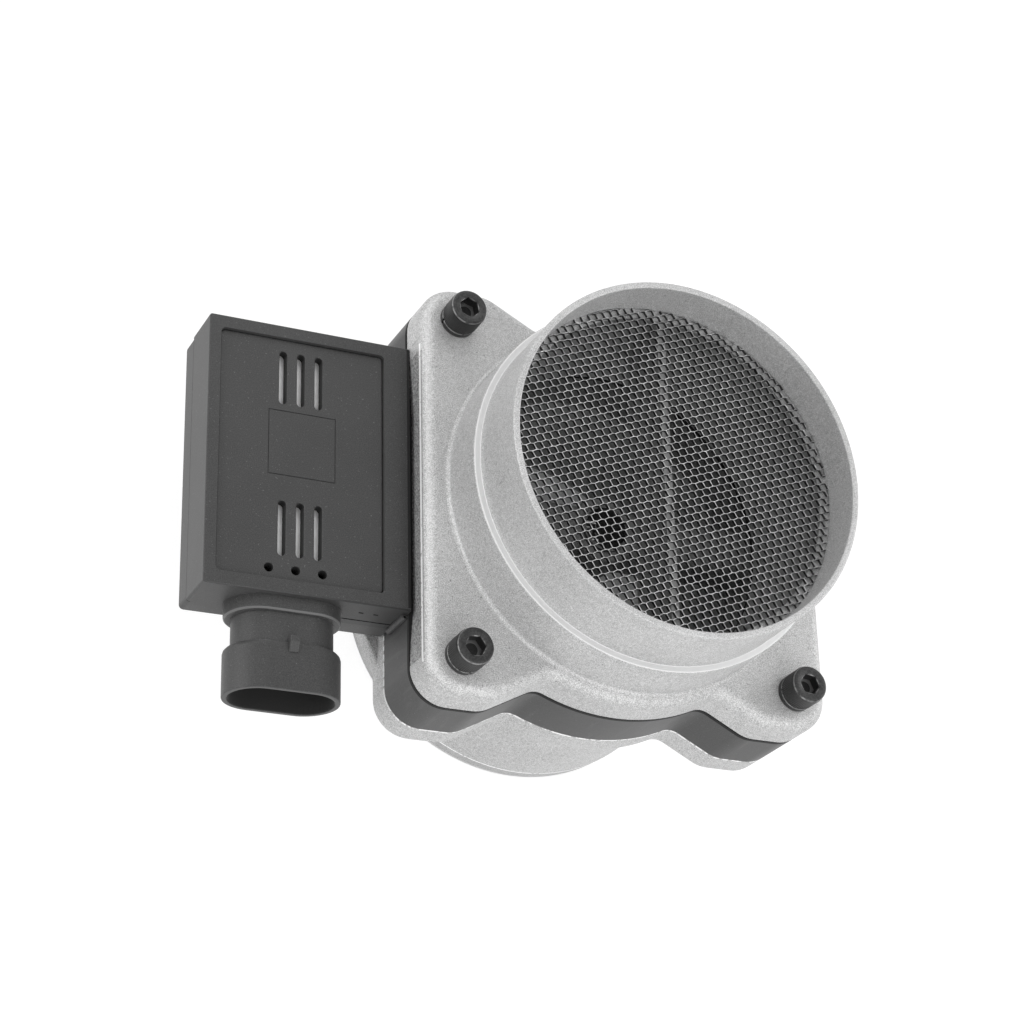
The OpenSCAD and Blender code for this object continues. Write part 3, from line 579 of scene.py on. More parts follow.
def tidy(piece):
    """Merges points that coincide and turns every face outward."""
    if piece.mode != "EDIT":
        take(piece)
        bpy.ops.object.mode_set(mode="EDIT")
    bpy.ops.mesh.select_all(action="SELECT")
    bpy.ops.mesh.remove_doubles(threshold=SAME_POINT)
    bpy.ops.mesh.normals_make_consistent(inside=False)
    return done(piece)


def raise_outline(step):
    """Fills the outline that was just drawn and extrudes it by a step in mm."""
    bpy.ops.mesh.select_all(action="SELECT")
    bpy.ops.mesh.edge_face_add()
    bpy.ops.mesh.extrude_region_move(TRANSFORM_OT_translate={"value": Vector(step) * MM})


def plate(name, outline, low, high):
    """A flat piece with straight walls: an outline in mm, filled and raised from low to high."""
    piece = draw(name, [(x, y, low) for x, y in outline])
    raise_outline((0, 0, high - low))
    return tidy(piece)


def round_edges(piece, test, width, segments=4):
    """Bevels the edges that pass the test, width in mm."""
    if pick(piece, "EDGE", test):
        bpy.ops.mesh.bevel(offset=width * MM, segments=segments, affect="EDGES",
                           clamp_overlap=False)
    return done(piece)


def cut(piece, tool, how="DIFFERENCE"):
    """Cuts the piece with a tool, joins the two or keeps what they share. The tool is used up."""
    take(piece)
    change = piece.modifiers.new("cut", "BOOLEAN")
    change.operation = how
    change.solver = "EXACT"
    change.object = tool
    bpy.ops.object.modifier_apply(modifier=change.name)
    bpy.data.objects.remove(tool)
    return piece


def join(piece, *others):
    """Puts other meshes into the piece's mesh."""
    take(piece)
    for other in others:
        other.select_set(True)
    bpy.ops.object.join()
    return piece


def copy_of(piece, name):
    """A copy with its own mesh."""
    take(piece)
    bpy.ops.object.duplicate(linked=False)
    twin = bpy.context.object
    twin.name = twin.data.name = name
    return twin


print("modelling tools ready")


# %% Finish a piece
def finish_piece(piece, material, stands_for, angle=32):
    """Gives the piece its finish, smooths its soft edges, hangs it on the root body and hides the
    node it stands for.
    """
    take(piece)
    piece.data.materials.clear()
    piece.data.materials.append(material)
    bpy.ops.object.shade_smooth_by_angle(angle=math.radians(angle))
    flats = piece.modifiers.new("flats_stay_flat", "WEIGHTED_NORMAL")
    flats.weight = 100
    flats.keep_sharp = True
    bpy.ops.object.modifier_apply(modifier=flats.name)
    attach(piece, "root")
    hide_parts(stands_for)
    print(piece.name, len(piece.data.vertices), "points", len(piece.data.polygons), "faces")
    return piece


print("finishing ready")


# %% Arcs and round-ended outlines
def arc(cx, cy, r, a0, a1, n):
    """Points on an arc, from a0 to a1 degrees."""
    return [(cx + r * math.cos(math.radians(a0 + (a1 - a0) * i / n)),
             cy + r * math.sin(math.radians(a0 + (a1 - a0) * i / n))) for i in range(n + 1)]


def racetrack(w, d, n):
    """Outline of a bar with round ends, w wide and d deep, in order round it."""
    h = (w - d) / 2
    return arc(h, 0.0, d / 2, -90, 90, n) + arc(-h, 0.0, d / 2, 90, 270, n)


def same_points(points, least=0.02):
    """Drops points that lie on the one before."""
    kept = []
    for p in points:
        if not kept or math.dist(p, kept[-1]) > least:
            kept.append(p)
    if math.dist(kept[0], kept[-1]) <= least:
        kept.pop()
    return kept


print("a half circle in 4 steps:", len(arc(0, 0, 1, 0, 180, 4)), "points")

# %% [markdown]
# ## The outline of the flanges
# Both flanges and the ring between them share one outline: four lobes round the screws, a sloping
# edge from each lobe, a small hollow, and an arc round the bore. One quarter is worked out from its
# sizes and mirrored, so that all the plates stay flush. The screws on the box's side stand a little
# further out, SCREW_Y, than the two on the other side, SCREW_Y2.

# %% Flange outline
LOBE_L, HUB_R, SLOPE, HOLLOW_R = 6.2, 48.6, 27.9, 5.2
corners = [(-SCREW_X, SCREW_Y), (-SCREW_X, -SCREW_Y), (SCREW_X, -SCREW_Y2), (SCREW_X, SCREW_Y2)]


def quarter_outline(screw_y):
    """From the side up over the lobe, down the slope, round the hollow and along the hub."""
    s = math.radians(SLOPE)
    # The slope of the right upper quarter falls toward the hub on the left
    normal = Vector((-math.sin(s), math.cos(s)))
    along = Vector((-math.cos(s), -math.sin(s)))
    lobe = Vector((SCREW_X - LOBE_L, screw_y))
    far = normal.dot(lobe) + LOBE_R
    run = math.sqrt((HUB_R + HOLLOW_R) ** 2 - (far + HOLLOW_R) ** 2)
    hollow = normal * (far + HOLLOW_R) - along * run
    points = arc(SCREW_X, screw_y, LOBE_R, 0, 90, 14)
    points += arc(lobe.x, lobe.y, LOBE_R, 90, 90 + SLOPE, 5)
    start = math.degrees(math.atan2(-normal.y, -normal.x)) % 360
    end = math.degrees(math.atan2(-hollow.y, -hollow.x)) % 360
    points += arc(hollow.x, hollow.y, HOLLOW_R, start, end, 8)
    hub = math.degrees(math.atan2(hollow.y, hollow.x))
    points += arc(0, 0, HUB_R, hub, 90, 14)
    return points


def flange_outline():
    upper = quarter_outline(SCREW_Y2) + [(-x, y) for x, y in reversed(quarter_outline(SCREW_Y))]
    return same_points(upper + [(x, -y) for x, y in reversed(upper)])


outline = flange_outline()
print("flange outline:", len(outline), "points, half width", round(max(x for x, y in outline), 2),
      "half height", round(max(y for x, y in outline), 2))

# %% [markdown]
# ## Inlet housing
# The real casting is one piece: a flange with a rounded upper edge, a rough collar, and a spigot
# that is turned to size, so that a bright ledge is left where the turning stops. The flange is a
# filled outline with a bevel, and the tube is spun from its section. A Boolean joins the two.

# %% Inlet flange
CAST_ROUND, JOINT_ROUND = 3.0, 0.35


def on_level(*heights):
    """A test for edges that lie flat at one of the heights in mm."""
    return lambda edge: any(all(abs(v.co.z - z * MM) < 2 * SAME_POINT for v in edge.verts)
                            for z in heights)


inlet = plate("inlet_casting", outline, Z_TOP, Z_FLANGE)
round_edges(inlet, on_level(Z_FLANGE), CAST_ROUND, 6)
round_edges(inlet, on_level(Z_TOP), JOINT_ROUND, 2)
print("flange faces:", len(inlet.data.polygons))

# %% Inlet tube
SCREEN_T, ROOT_R = 0.8, 1.1
IN_LIP, OUT_LIP, LEDGE_IN, LEDGE_OUT = 0.4, 0.55, 0.2, 0.45
z_seat = Z_SCREEN - SCREEN_T
tube_section = [(BORE_R, Z_TOP), (BORE_R, z_seat), (MOUTH_R, z_seat), (MOUTH_R, Z_END - 0.6)]
tube_section += arc(MOUTH_R + IN_LIP, Z_END - IN_LIP, IN_LIP, 180, 90, 4)
tube_section += arc(SPIGOT_R - OUT_LIP, Z_END - OUT_LIP, OUT_LIP, 90, 0, 5)
tube_section += arc(SPIGOT_R + LEDGE_IN, Z_LEDGE + LEDGE_IN, LEDGE_IN, 180, 270, 3)
tube_section += arc(COLLAR_R - LEDGE_OUT, Z_LEDGE - LEDGE_OUT, LEDGE_OUT, 90, 0, 4)
tube_section += arc(COLLAR_R + ROOT_R, Z_FLANGE + ROOT_R, ROOT_R, 180, 262, 5)
tube_section += [(COLLAR_R + 1.3, Z_FLANGE - 0.6), (COLLAR_R - 1.0, Z_FLANGE - 1.2),
                 (COLLAR_R - 1.0, Z_TOP)]
inlet_tube = turned("inlet_tube", same_points(tube_section), steps=240)
print("tube faces:", len(inlet_tube.data.polygons))

# %% Open the flange and join the tube to it
FLANGE_HOLE = BORE_R + 2.3


def drill(r, low, high, x=0.0, y=0.0, steps=96):
    """A round tool for cutting, in mm."""
    clear_selection()
    bpy.ops.mesh.primitive_cylinder_add(vertices=steps, radius=r * MM, depth=(high - low) * MM,
                                        location=(x * MM, y * MM, (low + high) / 2 * MM))
    return settle(bpy.context.object)


def block(low, high):
    """A box-shaped tool between two corners in mm."""
    clear_selection()
    lo, hi = Vector(low) * MM, Vector(high) * MM
    bpy.ops.mesh.primitive_cube_add(size=1.0, location=(lo + hi) / 2)
    tool = bpy.context.object
    tool.scale = hi - lo
    return settle(tool)


cut(inlet, drill(FLANGE_HOLE, Z_TOP - 1, Z_FLANGE + 1, steps=240))
cut(inlet, inlet_tube, "UNION")
for x, y in corners:
    cut(inlet, drill(3.1, Z_TOP - 1, Z_FLANGE + 1, x, y, 48))
print("inlet faces:", len(inlet.data.polygons))

# %% [markdown]
# The flange's wall is relieved beside the electronics box, and the floor of the relief stays rough.
# A shallow cut makes it, which runs out at both ends and leaves a sharp edge above.

# %% Relief beside the box
RELIEF_D = 1.1
relief_outline = [(-SIDE_X - 1, -46), (-SIDE_X + 0.05, -45), (-SIDE_X + 0.5, -36),
                  (-SIDE_X + RELIEF_D, -29), (-SIDE_X + RELIEF_D, 20),
                  (-SIDE_X + 0.05, 37.5), (-SIDE_X - 1, 38)]
cut(inlet, plate("relief", relief_outline, Z_TOP - 1, z_relief))
print("inlet faces with the relief:", len(inlet.data.polygons))

# %% [markdown]
# A rib crosses the bore under the screen and keeps it from sagging. It widens where it meets the
# wall. It is drawn as an outline, a long bar with flared ends, and raised along the bore.

# %% Rib under the screen
RIB_W, RIB_H, FLARE = 2.2, 16.0, 2.4
side = [(RIB_W / 2, 0.0)]
side += arc(RIB_W / 2 + FLARE, BORE_R - 2.0, FLARE, 180, 115, 6)
side += [(side[-1][0], BORE_R + 1.2)]
rib_outline = side + [(-x, y) for x, y in reversed(side)]
rib_outline += [(x, -y) for x, y in reversed(rib_outline)]
rib_top = z_seat - 0.05
rib = plate("rib", same_points(rib_outline), rib_top - RIB_H, rib_top)
round_edges(rib, on_level(rib_top - RIB_H), 0.25, 3)
round_edges(rib, on_level(rib_top), 0.2, 2)
join(inlet, rib)
tidy(inlet)
finish_piece(inlet, cast, "inlet_housing")

# %% [markdown]
# ## Outlet housing
# The second casting mirrors the first: a flange with its rounded edge turned down, and a plain cast
# tube whose end tapers in, so that a hose slides on. A tongue of the flange reaches behind the box.

# %% Outlet flange and tube
TUBE_R, TAPER, END_R = 45.1, 0.3, 0.3
outlet = plate("outlet_casting", outline, Z_OUT, Z_RING)
round_edges(outlet, on_level(Z_OUT), CAST_ROUND, 6)
round_edges(outlet, on_level(Z_RING), JOINT_ROUND, 2)
cut(outlet, drill(FLANGE_HOLE, Z_OUT - 1, Z_RING + 1, steps=240))
tube_section = [(MOUTH_R + 0.3, 0.0)]
tube_section += arc(TUBE_R - TAPER - END_R, END_R, END_R, 270, 350, 3)
tube_section += arc(TUBE_R - TAPER, 3.4, TAPER, 350, 360, 2) + [(TUBE_R, 4.0)]
tube_section += arc(TUBE_R + ROOT_R, Z_OUT - ROOT_R, ROOT_R, 180, 98, 5)
tube_section += [(TUBE_R + 1.3, Z_OUT + 0.6), (TUBE_R - 1.0, Z_OUT + 1.2), (TUBE_R - 1.0, Z_RING),
                 (BORE_R, Z_RING), (BORE_R, Z_OUT), (MOUTH_R, 0.4)]
cut(outlet, turned("outlet_tube", same_points(tube_section), steps=240), "UNION")
print("outlet faces:", len(outlet.data.polygons))

# %% Tongue behind the box
TONGUE_Y0, TONGUE_L, TONGUE_SLOPE = -35.4, 8.0, 18.2
box_y = (BOX_Y0 + BOX_Y1) / 2
tongue_y1 = 2 * box_y - TONGUE_Y0
tongue_outline = [(-SIDE_X + 6, TONGUE_Y0 - 8), (-SIDE_X + 0.1, TONGUE_Y0 - 0.2),
                  (-SIDE_X - TONGUE_L, TONGUE_Y0 + TONGUE_SLOPE),
                  (-SIDE_X - TONGUE_L, tongue_y1 - TONGUE_SLOPE),
                  (-SIDE_X + 0.1, tongue_y1 + 0.2), (-SIDE_X + 6, tongue_y1 + 8)]
tongue = plate("tongue", tongue_outline, Z_OUT + 0.9, Z_OUT + 5.3)
round_edges(tongue, lambda e: middle(e).x < -SIDE_X * MM, 0.7, 3)
cut(outlet, tongue, "UNION")
for x, y in corners:
    cut(outlet, drill(2.8, Z_OUT - 1, Z_RING + 1, x, y, 48))
tidy(outlet)
finish_piece(outlet, cast, "outlet_housing")

# %% [markdown]
# ## Centre section
# The ring, the bridge across the bore, the electronics box and the connector shroud are one black
# moulding. The ring is the flange outline again, with small softened edges that show the joints.
# The box is a block in two halves, because its mould parts along the side walls.

# %% Ring and its bore
body = plate("centre_moulding", outline, Z_RING, Z_TOP)
round_edges(body, on_level(Z_TOP, Z_RING), 0.3, 2)
cut(body, drill(BORE_R, Z_RING - 1, Z_TOP + 1, steps=240))
for x, y in corners:
    cut(body, drill(4.55, Z_RING - 1, Z_TOP + 1, x, y, 48))
print("ring faces:", len(body.data.polygons))

# %% Bridge across the bore, with the boss of the sampling duct
BRIDGE_R, BOSS_R, DUCT_R = 3, 8.5, 6.0
z_bridge, bridge_end = (Z_RING + Z_TOP) / 2, BORE_R + 1.5
section = []
for cx, cy, a in ((3, 3.5, 0), (-3, 3.5, 90), (-3, -3.5, 180), (3, -3.5, 270)):
    section += arc(cx, cy, BRIDGE_R, a, a + 90, 6)
bridge = draw("bridge", [(-bridge_end, y, z_bridge + z) for y, z in same_points(section)])
raise_outline((2 * bridge_end, 0, 0))
tidy(bridge)
boss = drill(BOSS_R, z_bridge - 6.5, z_bridge + 6.5)
round_edges(boss, on_level(z_bridge + 6.5, z_bridge - 6.5), 1.0, 4)
cut(bridge, boss, "UNION")
cut(bridge, drill(DUCT_R, Z_RING - 2, Z_TOP + 2))
cut(body, bridge, "UNION")
print("with the bridge:", len(body.data.polygons))

# %% Electronics box
def free_upright(e):
    """An upright edge of the box, away from the ring."""
    return abs(e.verts[0].co.z - e.verts[1].co.z) > 5 * MM and middle(e).x < (BOX_X1 - 2) * MM


front = block((BOX_X0, BOX_Y0, Z_PART), (BOX_X1, BOX_Y1, Z_FRONT))
round_edges(front, free_upright, 0.6, 4)
round_edges(front, on_level(Z_FRONT), 0.35, 3)
rear = block((BOX_X0 + 0.12, BOX_Y0 + 0.2, Z_BACK), (BOX_X1 - 0.4, BOX_Y1 - 0.12, Z_PART + 0.5))
round_edges(rear, free_upright, 1.1, 5)
round_edges(rear, on_level(Z_BACK), 0.8, 4)
cut(front, rear, "UNION")
print("two halves:", len(front.data.polygons), "faces")

# %% [markdown]
# Thin grooves follow the line where the mould parts. It runs along the left wall at the step
# between the halves, and on the connector's side at the connector's middle, under two short slots.

# %% Parting grooves, and the neck to the ring
GROOVE = 0.2
cut(front, block((BOX_X0 - 1, BOX_Y0 - 1, Z_PART - GROOVE),
                 (BOX_X0 + 0.25, BOX_Y1 + 1, Z_PART + GROOVE)))
cut(front, block((-65.2, BOX_Y0 - 1, CONN_Z - 0.25), (BOX_X1 - 1.2, BOX_Y0 + 0.4, CONN_Z + 0.25)))
for x in (-61.8, -58.2):
    cut(front, block((x - 0.6, BOX_Y0 - 1, 53.4), (x + 0.6, BOX_Y0 + 0.6, 54.0)))
neck = block((BOX_X1 - 1.0, BOX_Y0 + 1.0, Z_RING + 0.3), (BOX_X1 + 5.0, BOX_Y1 - 1.0, Z_TOP - 0.3))
cut(front, neck, "UNION")
print("box faces:", len(front.data.polygons))

# %% [markdown]
# The box is open at the front. The cover drops into a recess with rounded corners and rests on a
# ledge, and the room below the ledge holds the board.

# %% Recess for the cover
COVER_L, COVER_W, COVER_GAP, LEDGE_W = 39.8, 60.2, 0.2, 1.5
COVER_X, COVER_Y = BOX_X0 + 3.0 + COVER_L / 2, box_y + 0.1


def rounded_block(name, l, w, r, low, high):
    """A plate with rounded corners, centred where the cover is."""
    corner = []
    for sx, sy, a in ((1, 1, 0), (-1, 1, 90), (-1, -1, 180), (1, -1, 270)):
        corner += arc(COVER_X + sx * (l / 2 - r), COVER_Y + sy * (w / 2 - r), r, a, a + 90, 8)
    return plate(name, same_points(corner), low, high)


cut(front, rounded_block("recess", COVER_L + 2 * COVER_GAP, COVER_W + 2 * COVER_GAP, 1.2,
                         Z_SEAT, Z_FRONT + 1))
room_l, room_w = COVER_L / 2 - LEDGE_W, COVER_W / 2 - LEDGE_W
cut(front, block((COVER_X - room_l, COVER_Y - room_w, Z_FLOOR),
                 (COVER_X + room_l, COVER_Y + room_w, Z_SEAT + 0.5)))
print("open box faces:", len(front.data.polygons))

# %% [markdown]
# ## Connector
# A flat oval socket with round ends points away from the box. It is a stack of oval outlines along
# -Y: a collar against the box, a slimmer neck, a rounded shoulder, and the shroud, which is hollow.

# %% Stack of ovals
SHROUD_W, SHROUD_D = 27.3, 16.5


def oval_stack(name, sections, n=24):
    """Ovals joined along -Y: y, and how much narrower and shallower than the shroud each is."""
    rings = [[(CONN_X + a, s[0], CONN_Z + b)
              for a, b in racetrack(SHROUD_W - 2 * s[1], SHROUD_D - 2 * s[-1], n)]
             for s in sections]
    size = len(rings[0])
    piece = done(draw(name, rings[0]))
    for ring in rings[1:]:
        join(piece, done(draw(name + "_ring", ring)))
    for k in range(len(rings) - 1):
        pick(piece, "EDGE", lambda e: all(k * size <= v.index < (k + 2) * size for v in e.verts))
        bpy.ops.mesh.bridge_edge_loops()
    for k in (0, len(rings) - 1):
        pick(piece, "EDGE", lambda e: all(k * size <= v.index < (k + 1) * size for v in e.verts))
        bpy.ops.mesh.edge_face_add()
    return tidy(piece)


print("oval stack ready")

# %% Connector shroud and its socket
Y_COLLAR, Y_NECK, Y_MOUTH, SOCKET_D = -33.2, -40.4, -51.7, 11.6
COLLAR_ROUND, NECK_IN, SHOULDER, SHOULDER_D = 0.7, 1.8, 1.2, 0.35
outside = [(BOX_Y0 + 1.0, 0.0), (Y_COLLAR + COLLAR_ROUND, 0.0)]
turns = [(math.sin(math.radians(a)), math.cos(math.radians(a))) for a in (30, 60, 90)]
outside += [(Y_COLLAR + COLLAR_ROUND * (1 - s), COLLAR_ROUND * (1 - c)) for s, c in turns]
outside += [(Y_COLLAR, NECK_IN, 0.9), (Y_NECK, NECK_IN, SHOULDER_D), (Y_NECK, SHOULDER, SHOULDER_D)]
outside += [(Y_NECK - SHOULDER * (1 - c), SHOULDER * (1 - s), SHOULDER_D * (1 - s))
            for s, c in turns]
outside += [(Y_MOUTH + 0.35, 0.0), (Y_MOUTH + 0.1, 0.1), (Y_MOUTH, 0.35)]
shroud = oval_stack("shroud", outside)
hollow = oval_stack("socket", [(Y_MOUTH + SOCKET_D, 1.5), (Y_MOUTH + 0.4, 1.4), (Y_MOUTH, 1.15),
                               (Y_MOUTH - 1.0, 1.15)])
print("shroud faces:", len(shroud.data.polygons))

# %% Latch ramp on the shroud
RAMP_W, RAMP_FOOT, RAMP_LOW, RAMP_TOP = 2.4, CONN_Z + 6.0, CONN_Z + 8.5, CONN_Z + 9.7
ramp_side = [(Y_NECK - 2.4, RAMP_FOOT), (Y_NECK - 2.4, RAMP_LOW), (Y_NECK - 0.1, RAMP_TOP),
             (Y_NECK + 1.2, RAMP_TOP), (Y_NECK + 1.2, RAMP_FOOT)]
ramp = draw("latch_ramp", [(CONN_X - RAMP_W / 2, y, z) for y, z in ramp_side])
raise_outline((RAMP_W, 0, 0))
tidy(ramp)
round_edges(ramp, lambda e: middle(e).z > (RAMP_LOW + 0.1) * MM, 0.3, 3)
cut(shroud, ramp, "UNION")
cut(shroud, hollow)
cut(front, shroud, "UNION")
print("box with shroud faces:", len(front.data.polygons))

# %% Bead in the corner under the box, with its pin hole
z_bead = Z_TOP - 0.8
bead = drill(0.85, Z_TOP - 11.0, z_bead, BOX_X1 - 0.5, BOX_Y0 - 0.3, 32)
round_edges(bead, on_level(z_bead), 0.25, 3)
cut(bead, drill(0.35, Z_TOP - 2.4, Z_TOP + 1, BOX_X1 - 0.6, BOX_Y0 - 0.6, 20))
cut(front, bead, "UNION")
cut(body, front, "UNION")
tidy(body)
finish_piece(body, plastic, "sensor_body")

# %% [markdown]
# ## Cover of the electronics box
# The cover is a thin plate with softened edges. Two groups of three slots let air in, three round
# vents sit below them, and a shallow square line frames a bare panel. Each cutting tool is made
# wider at its top, so that the cut leaves a small chamfer which catches the light.

# %% Cover
cover = rounded_block("box_cover", COVER_L, COVER_W, 1.0, Z_SEAT, Z_COVER)
round_edges(cover, on_level(Z_COVER), 0.25, 3)


def flared_tool(points, low, high, grow):
    """A tool raised from low to high, then widened by grow along a 45 degree slope."""
    tool = draw("tool", [(x, y, low) for x, y in points])
    raise_outline((0, 0, high - low))
    bpy.ops.mesh.extrude_region_move(TRANSFORM_OT_translate={"value": (0, 0, grow * MM)})
    xs, ys = [p[0] for p in points], [p[1] for p in points]
    l, w = max(xs) - min(xs), max(ys) - min(ys)
    centre = ((max(xs) + min(xs)) / 2 * MM, (max(ys) + min(ys)) / 2 * MM, (high + grow) * MM)
    bpy.ops.transform.resize(value=((l + 2 * grow) / l, (w + 2 * grow) / w, 1),
                             center_override=centre)
    return tidy(tool)


SLOT_L, SLOT_W, SLOT_P, VENT_R, VENT_P, FLARE_UP = 13.6, 1.9, 4.35, 1.1, 6.4, 0.4
slot_rows = ((COVER_X - 0.3, 24.4), (COVER_X - 0.1, -13.5))
vent_row = (COVER_X - 1.0, -23.5)
for i in (-1, 0, 1):
    for x, y in slot_rows:
        track = [(x + i * SLOT_P - b, y + a) for a, b in racetrack(SLOT_L, SLOT_W, 10)]
        cut(cover, flared_tool(same_points(track), Z_SEAT - 1, Z_COVER - 0.17, FLARE_UP))
    vent = arc(vent_row[0] + i * VENT_P, vent_row[1], VENT_R, 0, 360 - 360 / 32, 31)
    cut(cover, flared_tool(vent, Z_SEAT - 1, Z_COVER - 0.12, FLARE_UP))
print("cover faces:", len(cover.data.polygons))

# %% Square outline on the cover
PANEL, LINE = 16.4, 0.22
panel_x, panel_y = COVER_X + 0.1, 7.7


def square_block(half, low, high):
    return block((panel_x - half, panel_y - half, low), (panel_x + half, panel_y + half, high))


line = square_block(PANEL / 2, Z_COVER - LINE, Z_COVER + 1)
cut(line, square_block(PANEL / 2 - LINE, Z_COVER - 0.5, Z_COVER + 2))
cut(cover, line)
tidy(cover)
finish_piece(cover, cover_plastic, "electronics_cover")

# %% [markdown]
# ## Honeycomb screen
# The screen is foil folded into small cells, about 2 mm from cell to cell. Short cross walls join
# long, gently zigzag rows, almost like bricks. The rows wander a little and the edge is crumpled.
# One cell is drawn, repeated with Array modifiers, trimmed to the mouth and shaken a little.

# %% One cell
PITCH, ROW, FOIL_T, LEAN, CELL_TURN = 2.057, 1.752, 0.15, -0.12, 20.9
ZIGZAG = 12
rise = PITCH / 2 * math.tan(math.radians(ZIGZAG))
wall = ROW - rise
cell = [(PITCH / 2 + LEAN, wall / 2), (-LEAN, wall / 2 + rise), (-PITCH / 2 + LEAN, wall / 2)]
cell += [(-x, -y) for x, y in cell]
screen = draw("honeycomb", [(x, y, 0) for x, y in cell])
bpy.ops.mesh.select_all(action="SELECT")
bpy.ops.mesh.edge_face_add()
bpy.ops.mesh.select_mode(type="FACE")
bpy.ops.mesh.select_all(action="SELECT")
bpy.ops.mesh.normals_make_consistent(inside=False)
bpy.ops.mesh.inset(thickness=FOIL_T / 2 * MM)
bpy.ops.mesh.delete(type="FACE")
bpy.ops.mesh.select_all(action="SELECT")
bpy.ops.mesh.extrude_region_move(TRANSFORM_OT_translate={"value": (0, 0, -SCREEN_T * MM)})


def outer_wall(f):
    """The wall's middle lies on the cell's edge, and not half the foil's thickness inside it."""
    place, n = f.calc_center_median(), f.normal
    middles = [((a[0] + b[0]) / 2, (a[1] + b[1]) / 2) for a, b in zip(cell, cell[1:] + cell[:1])]
    return abs(n.z) < 0.5 and any(math.hypot(place.x - x * MM, place.y - y * MM) < FOIL_T / 4 * MM
                                  for x, y in middles)


pick(screen, "FACE", outer_wall)
bpy.ops.mesh.delete(type="FACE")
done(screen)
print("cell faces:", len(screen.data.polygons))


# %% Repeat it over the mouth
def repeat(piece, count, step):
    take(piece)
    rows = piece.modifiers.new("rows", "ARRAY")
    rows.use_relative_offset = False
    rows.use_constant_offset = True
    rows.constant_offset_displace = Vector(step) * MM
    rows.count = count
    rows.use_merge_vertices = True
    rows.merge_threshold = SAME_POINT
    bpy.ops.object.modifier_apply(modifier=rows.name)


ALONG, ACROSS, TRIM = 43, 26, 0.15
repeat(screen, 2, (PITCH / 2, ROW, 0))
repeat(screen, ALONG, (PITCH, 0, 0))
repeat(screen, ACROSS, (0, 2 * ROW, 0))
screen.location = Vector((-(ALONG - 0.5) * PITCH / 2, -(ACROSS - 0.5) * ROW, Z_SCREEN)) * MM
settle(screen)
screen.rotation_euler = (0, 0, math.radians(CELL_TURN))
settle(screen)
pick(screen, "FACE", lambda f: f.calc_center_median().xy.length > (MOUTH_R - TRIM) * MM)
bpy.ops.mesh.delete(type="FACE")
bpy.ops.mesh.select_all(action="SELECT")
bpy.ops.mesh.remove_doubles(threshold=2 * SAME_POINT)
print("screen:", len(screen.data.polygons), "faces before the shake")

# %% Shake it a little, and crumple its edge
WANDER, CRUMPLE = 0.05, 0.16
pick(screen, "VERT", lambda v: v.co.xy.length < (MOUTH_R - 1.0) * MM)
bpy.ops.transform.vertex_random(offset=WANDER * MM, seed=4)
pick(screen, "VERT", lambda v: (MOUTH_R - 2.6) * MM < v.co.xy.length < (MOUTH_R - 0.5) * MM)
bpy.ops.transform.vertex_random(offset=CRUMPLE * MM, seed=9)
done(screen)
finish_piece(screen, foil, "honeycomb_screen", angle=30)

# %% [markdown]
# ## Screws and washers
# Four socket-head screws clamp the stack, each on a split spring washer. The head is turned from
# its section, its side is knurled, and the socket is cut with a six-sided tool.

# %% One cap screw
HEAD_R, THREAD_R, THREAD_L, THREAD_TIP, TOP_ROUND = 4.55, 2.75, 35, 0.6, 0.55
KNURL_STEP, KNURL_DEPTH = 6, 0.022
z_tip = z_head + HEAD_H
screw_section = [(0, z_head - THREAD_L), (THREAD_R - THREAD_TIP, z_head - THREAD_L),
                 (THREAD_R, z_head - THREAD_L + THREAD_TIP), (THREAD_R, z_head),
                 (HEAD_R - 0.45, z_head), (HEAD_R, z_head + 0.4), (HEAD_R, z_tip - 0.95),
                 (HEAD_R - 0.12, z_tip - 0.75), (HEAD_R - 0.12, z_tip - 0.6)]
screw_section += arc(HEAD_R - 0.12 - TOP_ROUND, z_tip - TOP_ROUND, TOP_ROUND, 0, 90, 5)
screw_section += [(0, z_tip)]
screw = turned("cap_screw", screw_section, steps=120, closed=False)


def groove_point(v):
    """A point of the head's side that lies in one of the knurl's grooves."""
    turn = math.degrees(math.atan2(v.co.y, v.co.x)) % KNURL_STEP
    on_side = (z_head + 0.3) * MM < v.co.z < (z_tip - 0.9) * MM
    return v.co.xy.length > (HEAD_R - 0.02) * MM and on_side and (turn < 1 or turn > 5)


pick(screw, "VERT", groove_point)
bpy.ops.transform.resize(value=(1 - KNURL_DEPTH, 1 - KNURL_DEPTH, 1))
done(screw)
print("screw faces:", len(screw.data.polygons))

# %% Socket of the screw
SOCKET_FLAT = 4.5
clear_selection()
bpy.ops.mesh.primitive_cylinder_add(vertices=6, radius=SOCKET_FLAT / 2 / math.cos(math.pi / 6) * MM,
                                    depth=4 * MM, location=(0, 0, (z_tip - 1) * MM))
cut(screw, settle(bpy.context.object))
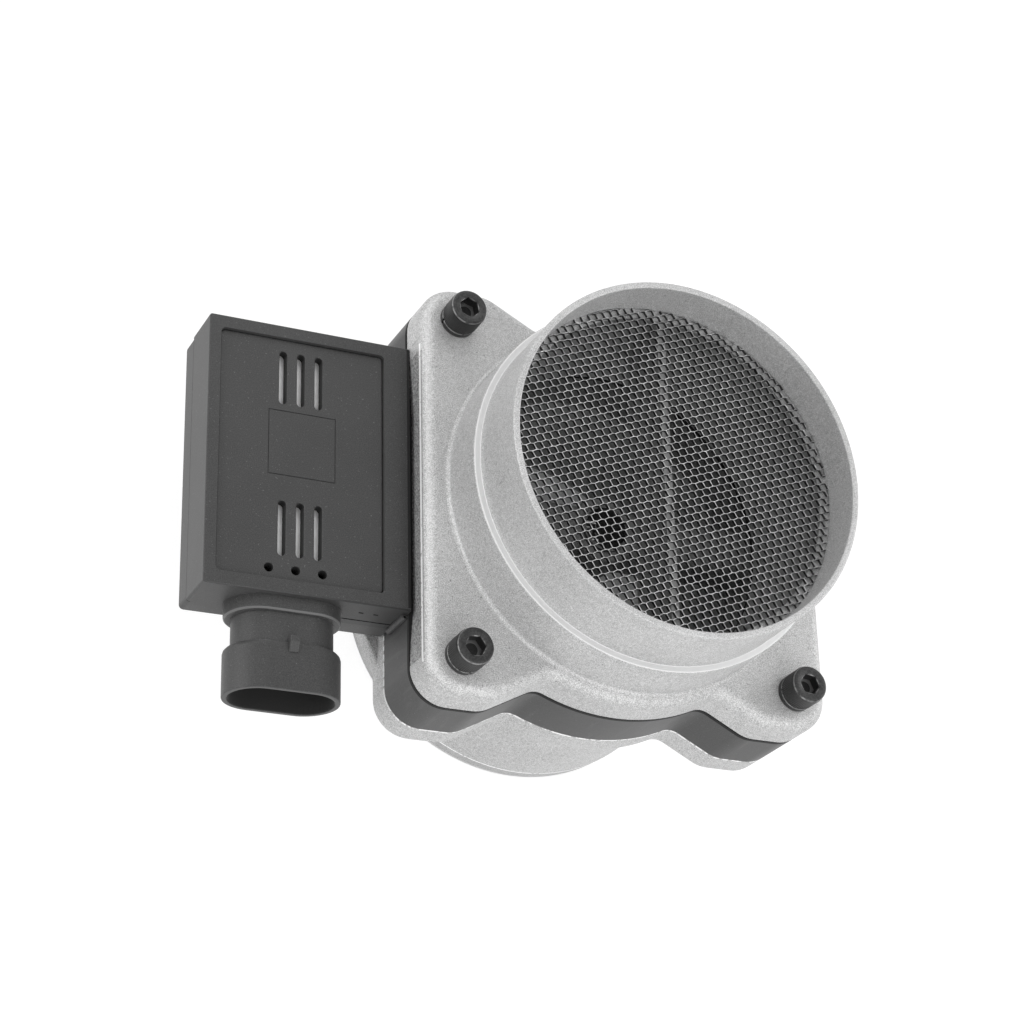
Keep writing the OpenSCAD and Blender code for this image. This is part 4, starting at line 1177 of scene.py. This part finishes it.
# A shallow cone at the socket's floor, and a chamfer round its mouth
for r_low, r_high, depth, z in ((0, 2.05, 0.9, z_tip - 3.3), (2.1, 3.1, 0.7, z_tip - 0.05)):
    clear_selection()
    bpy.ops.mesh.primitive_cone_add(vertices=48, radius1=r_low * MM, radius2=r_high * MM,
                                    depth=depth * MM, location=(0, 0, z * MM))
    cut(screw, settle(bpy.context.object))
tidy(screw)
print("screw faces with the socket:", len(screw.data.polygons))

# %% Split washer
WASHER_IN, WASHER_OUT, SPLIT_LEAN = 2.9, 4.5, 25
washer_section = [(WASHER_IN, Z_FLANGE), (WASHER_OUT - 0.1, Z_FLANGE),
                  (WASHER_OUT, Z_FLANGE + 0.12), (WASHER_OUT, z_head - 0.12),
                  (WASHER_OUT - 0.1, z_head), (WASHER_IN, z_head)]
washer = turned("lock_washer", washer_section, steps=96)
clear_selection()
bpy.ops.mesh.primitive_cube_add(size=1.0, location=(4 * MM, 0, (Z_FLANGE + WASHER_T / 2) * MM),
                                rotation=(math.radians(SPLIT_LEAN), 0, 0))
slit = bpy.context.object
slit.scale = Vector((3, 0.5, 5)) * MM
cut(washer, settle(slit))
tidy(washer)
print("washer faces:", len(washer.data.polygons))

# %% Set them on the four corners
# Degrees by which each socket and each washer's split is turned, in the order of the corners
hex_turns, washer_turns = (10, 35, 22, 48), (200, 285, 20, 110)
for i, (x, y) in enumerate(corners):
    for master, name, turn in ((screw, "cap_screw", hex_turns[i]),
                               (washer, "lock_washer", washer_turns[i])):
        piece = copy_of(master, f"{name}_{i + 1}_made")
        piece.rotation_euler = (0, 0, math.radians(turn))
        settle(piece)
        piece.location = Vector((x, y, 0)) * MM
        settle(piece)
        finish_piece(piece, steel, f"{name}_{i + 1}", angle=40)
for master in (screw, washer):
    bpy.data.objects.remove(master)

# %% [markdown]
# ## Parts that keep their CAD shape
# The sleeves, seals, board, contacts and sensing parts are right as they are and need a finish.

# %% Finish of the nodes that stay
wanted = {"spacer": plated, "seal": rubber, "sampling": dull, "element": dull, "post": plated,
          "circuit": board, "chip": resin, "transistor": resin, "capacitor": sheet,
          "shield": sheet, "terminal": brass, "screen": foil, "housing": cast, "body": plastic,
          "cover": plastic, "screw": steel, "washer": steel}
for name, node in nodes.items():
    material = next(m for word, m in wanted.items() if word in name)
    for slot in node.material_slots:
        slot.material = material
print("materials:", len(bpy.data.materials))
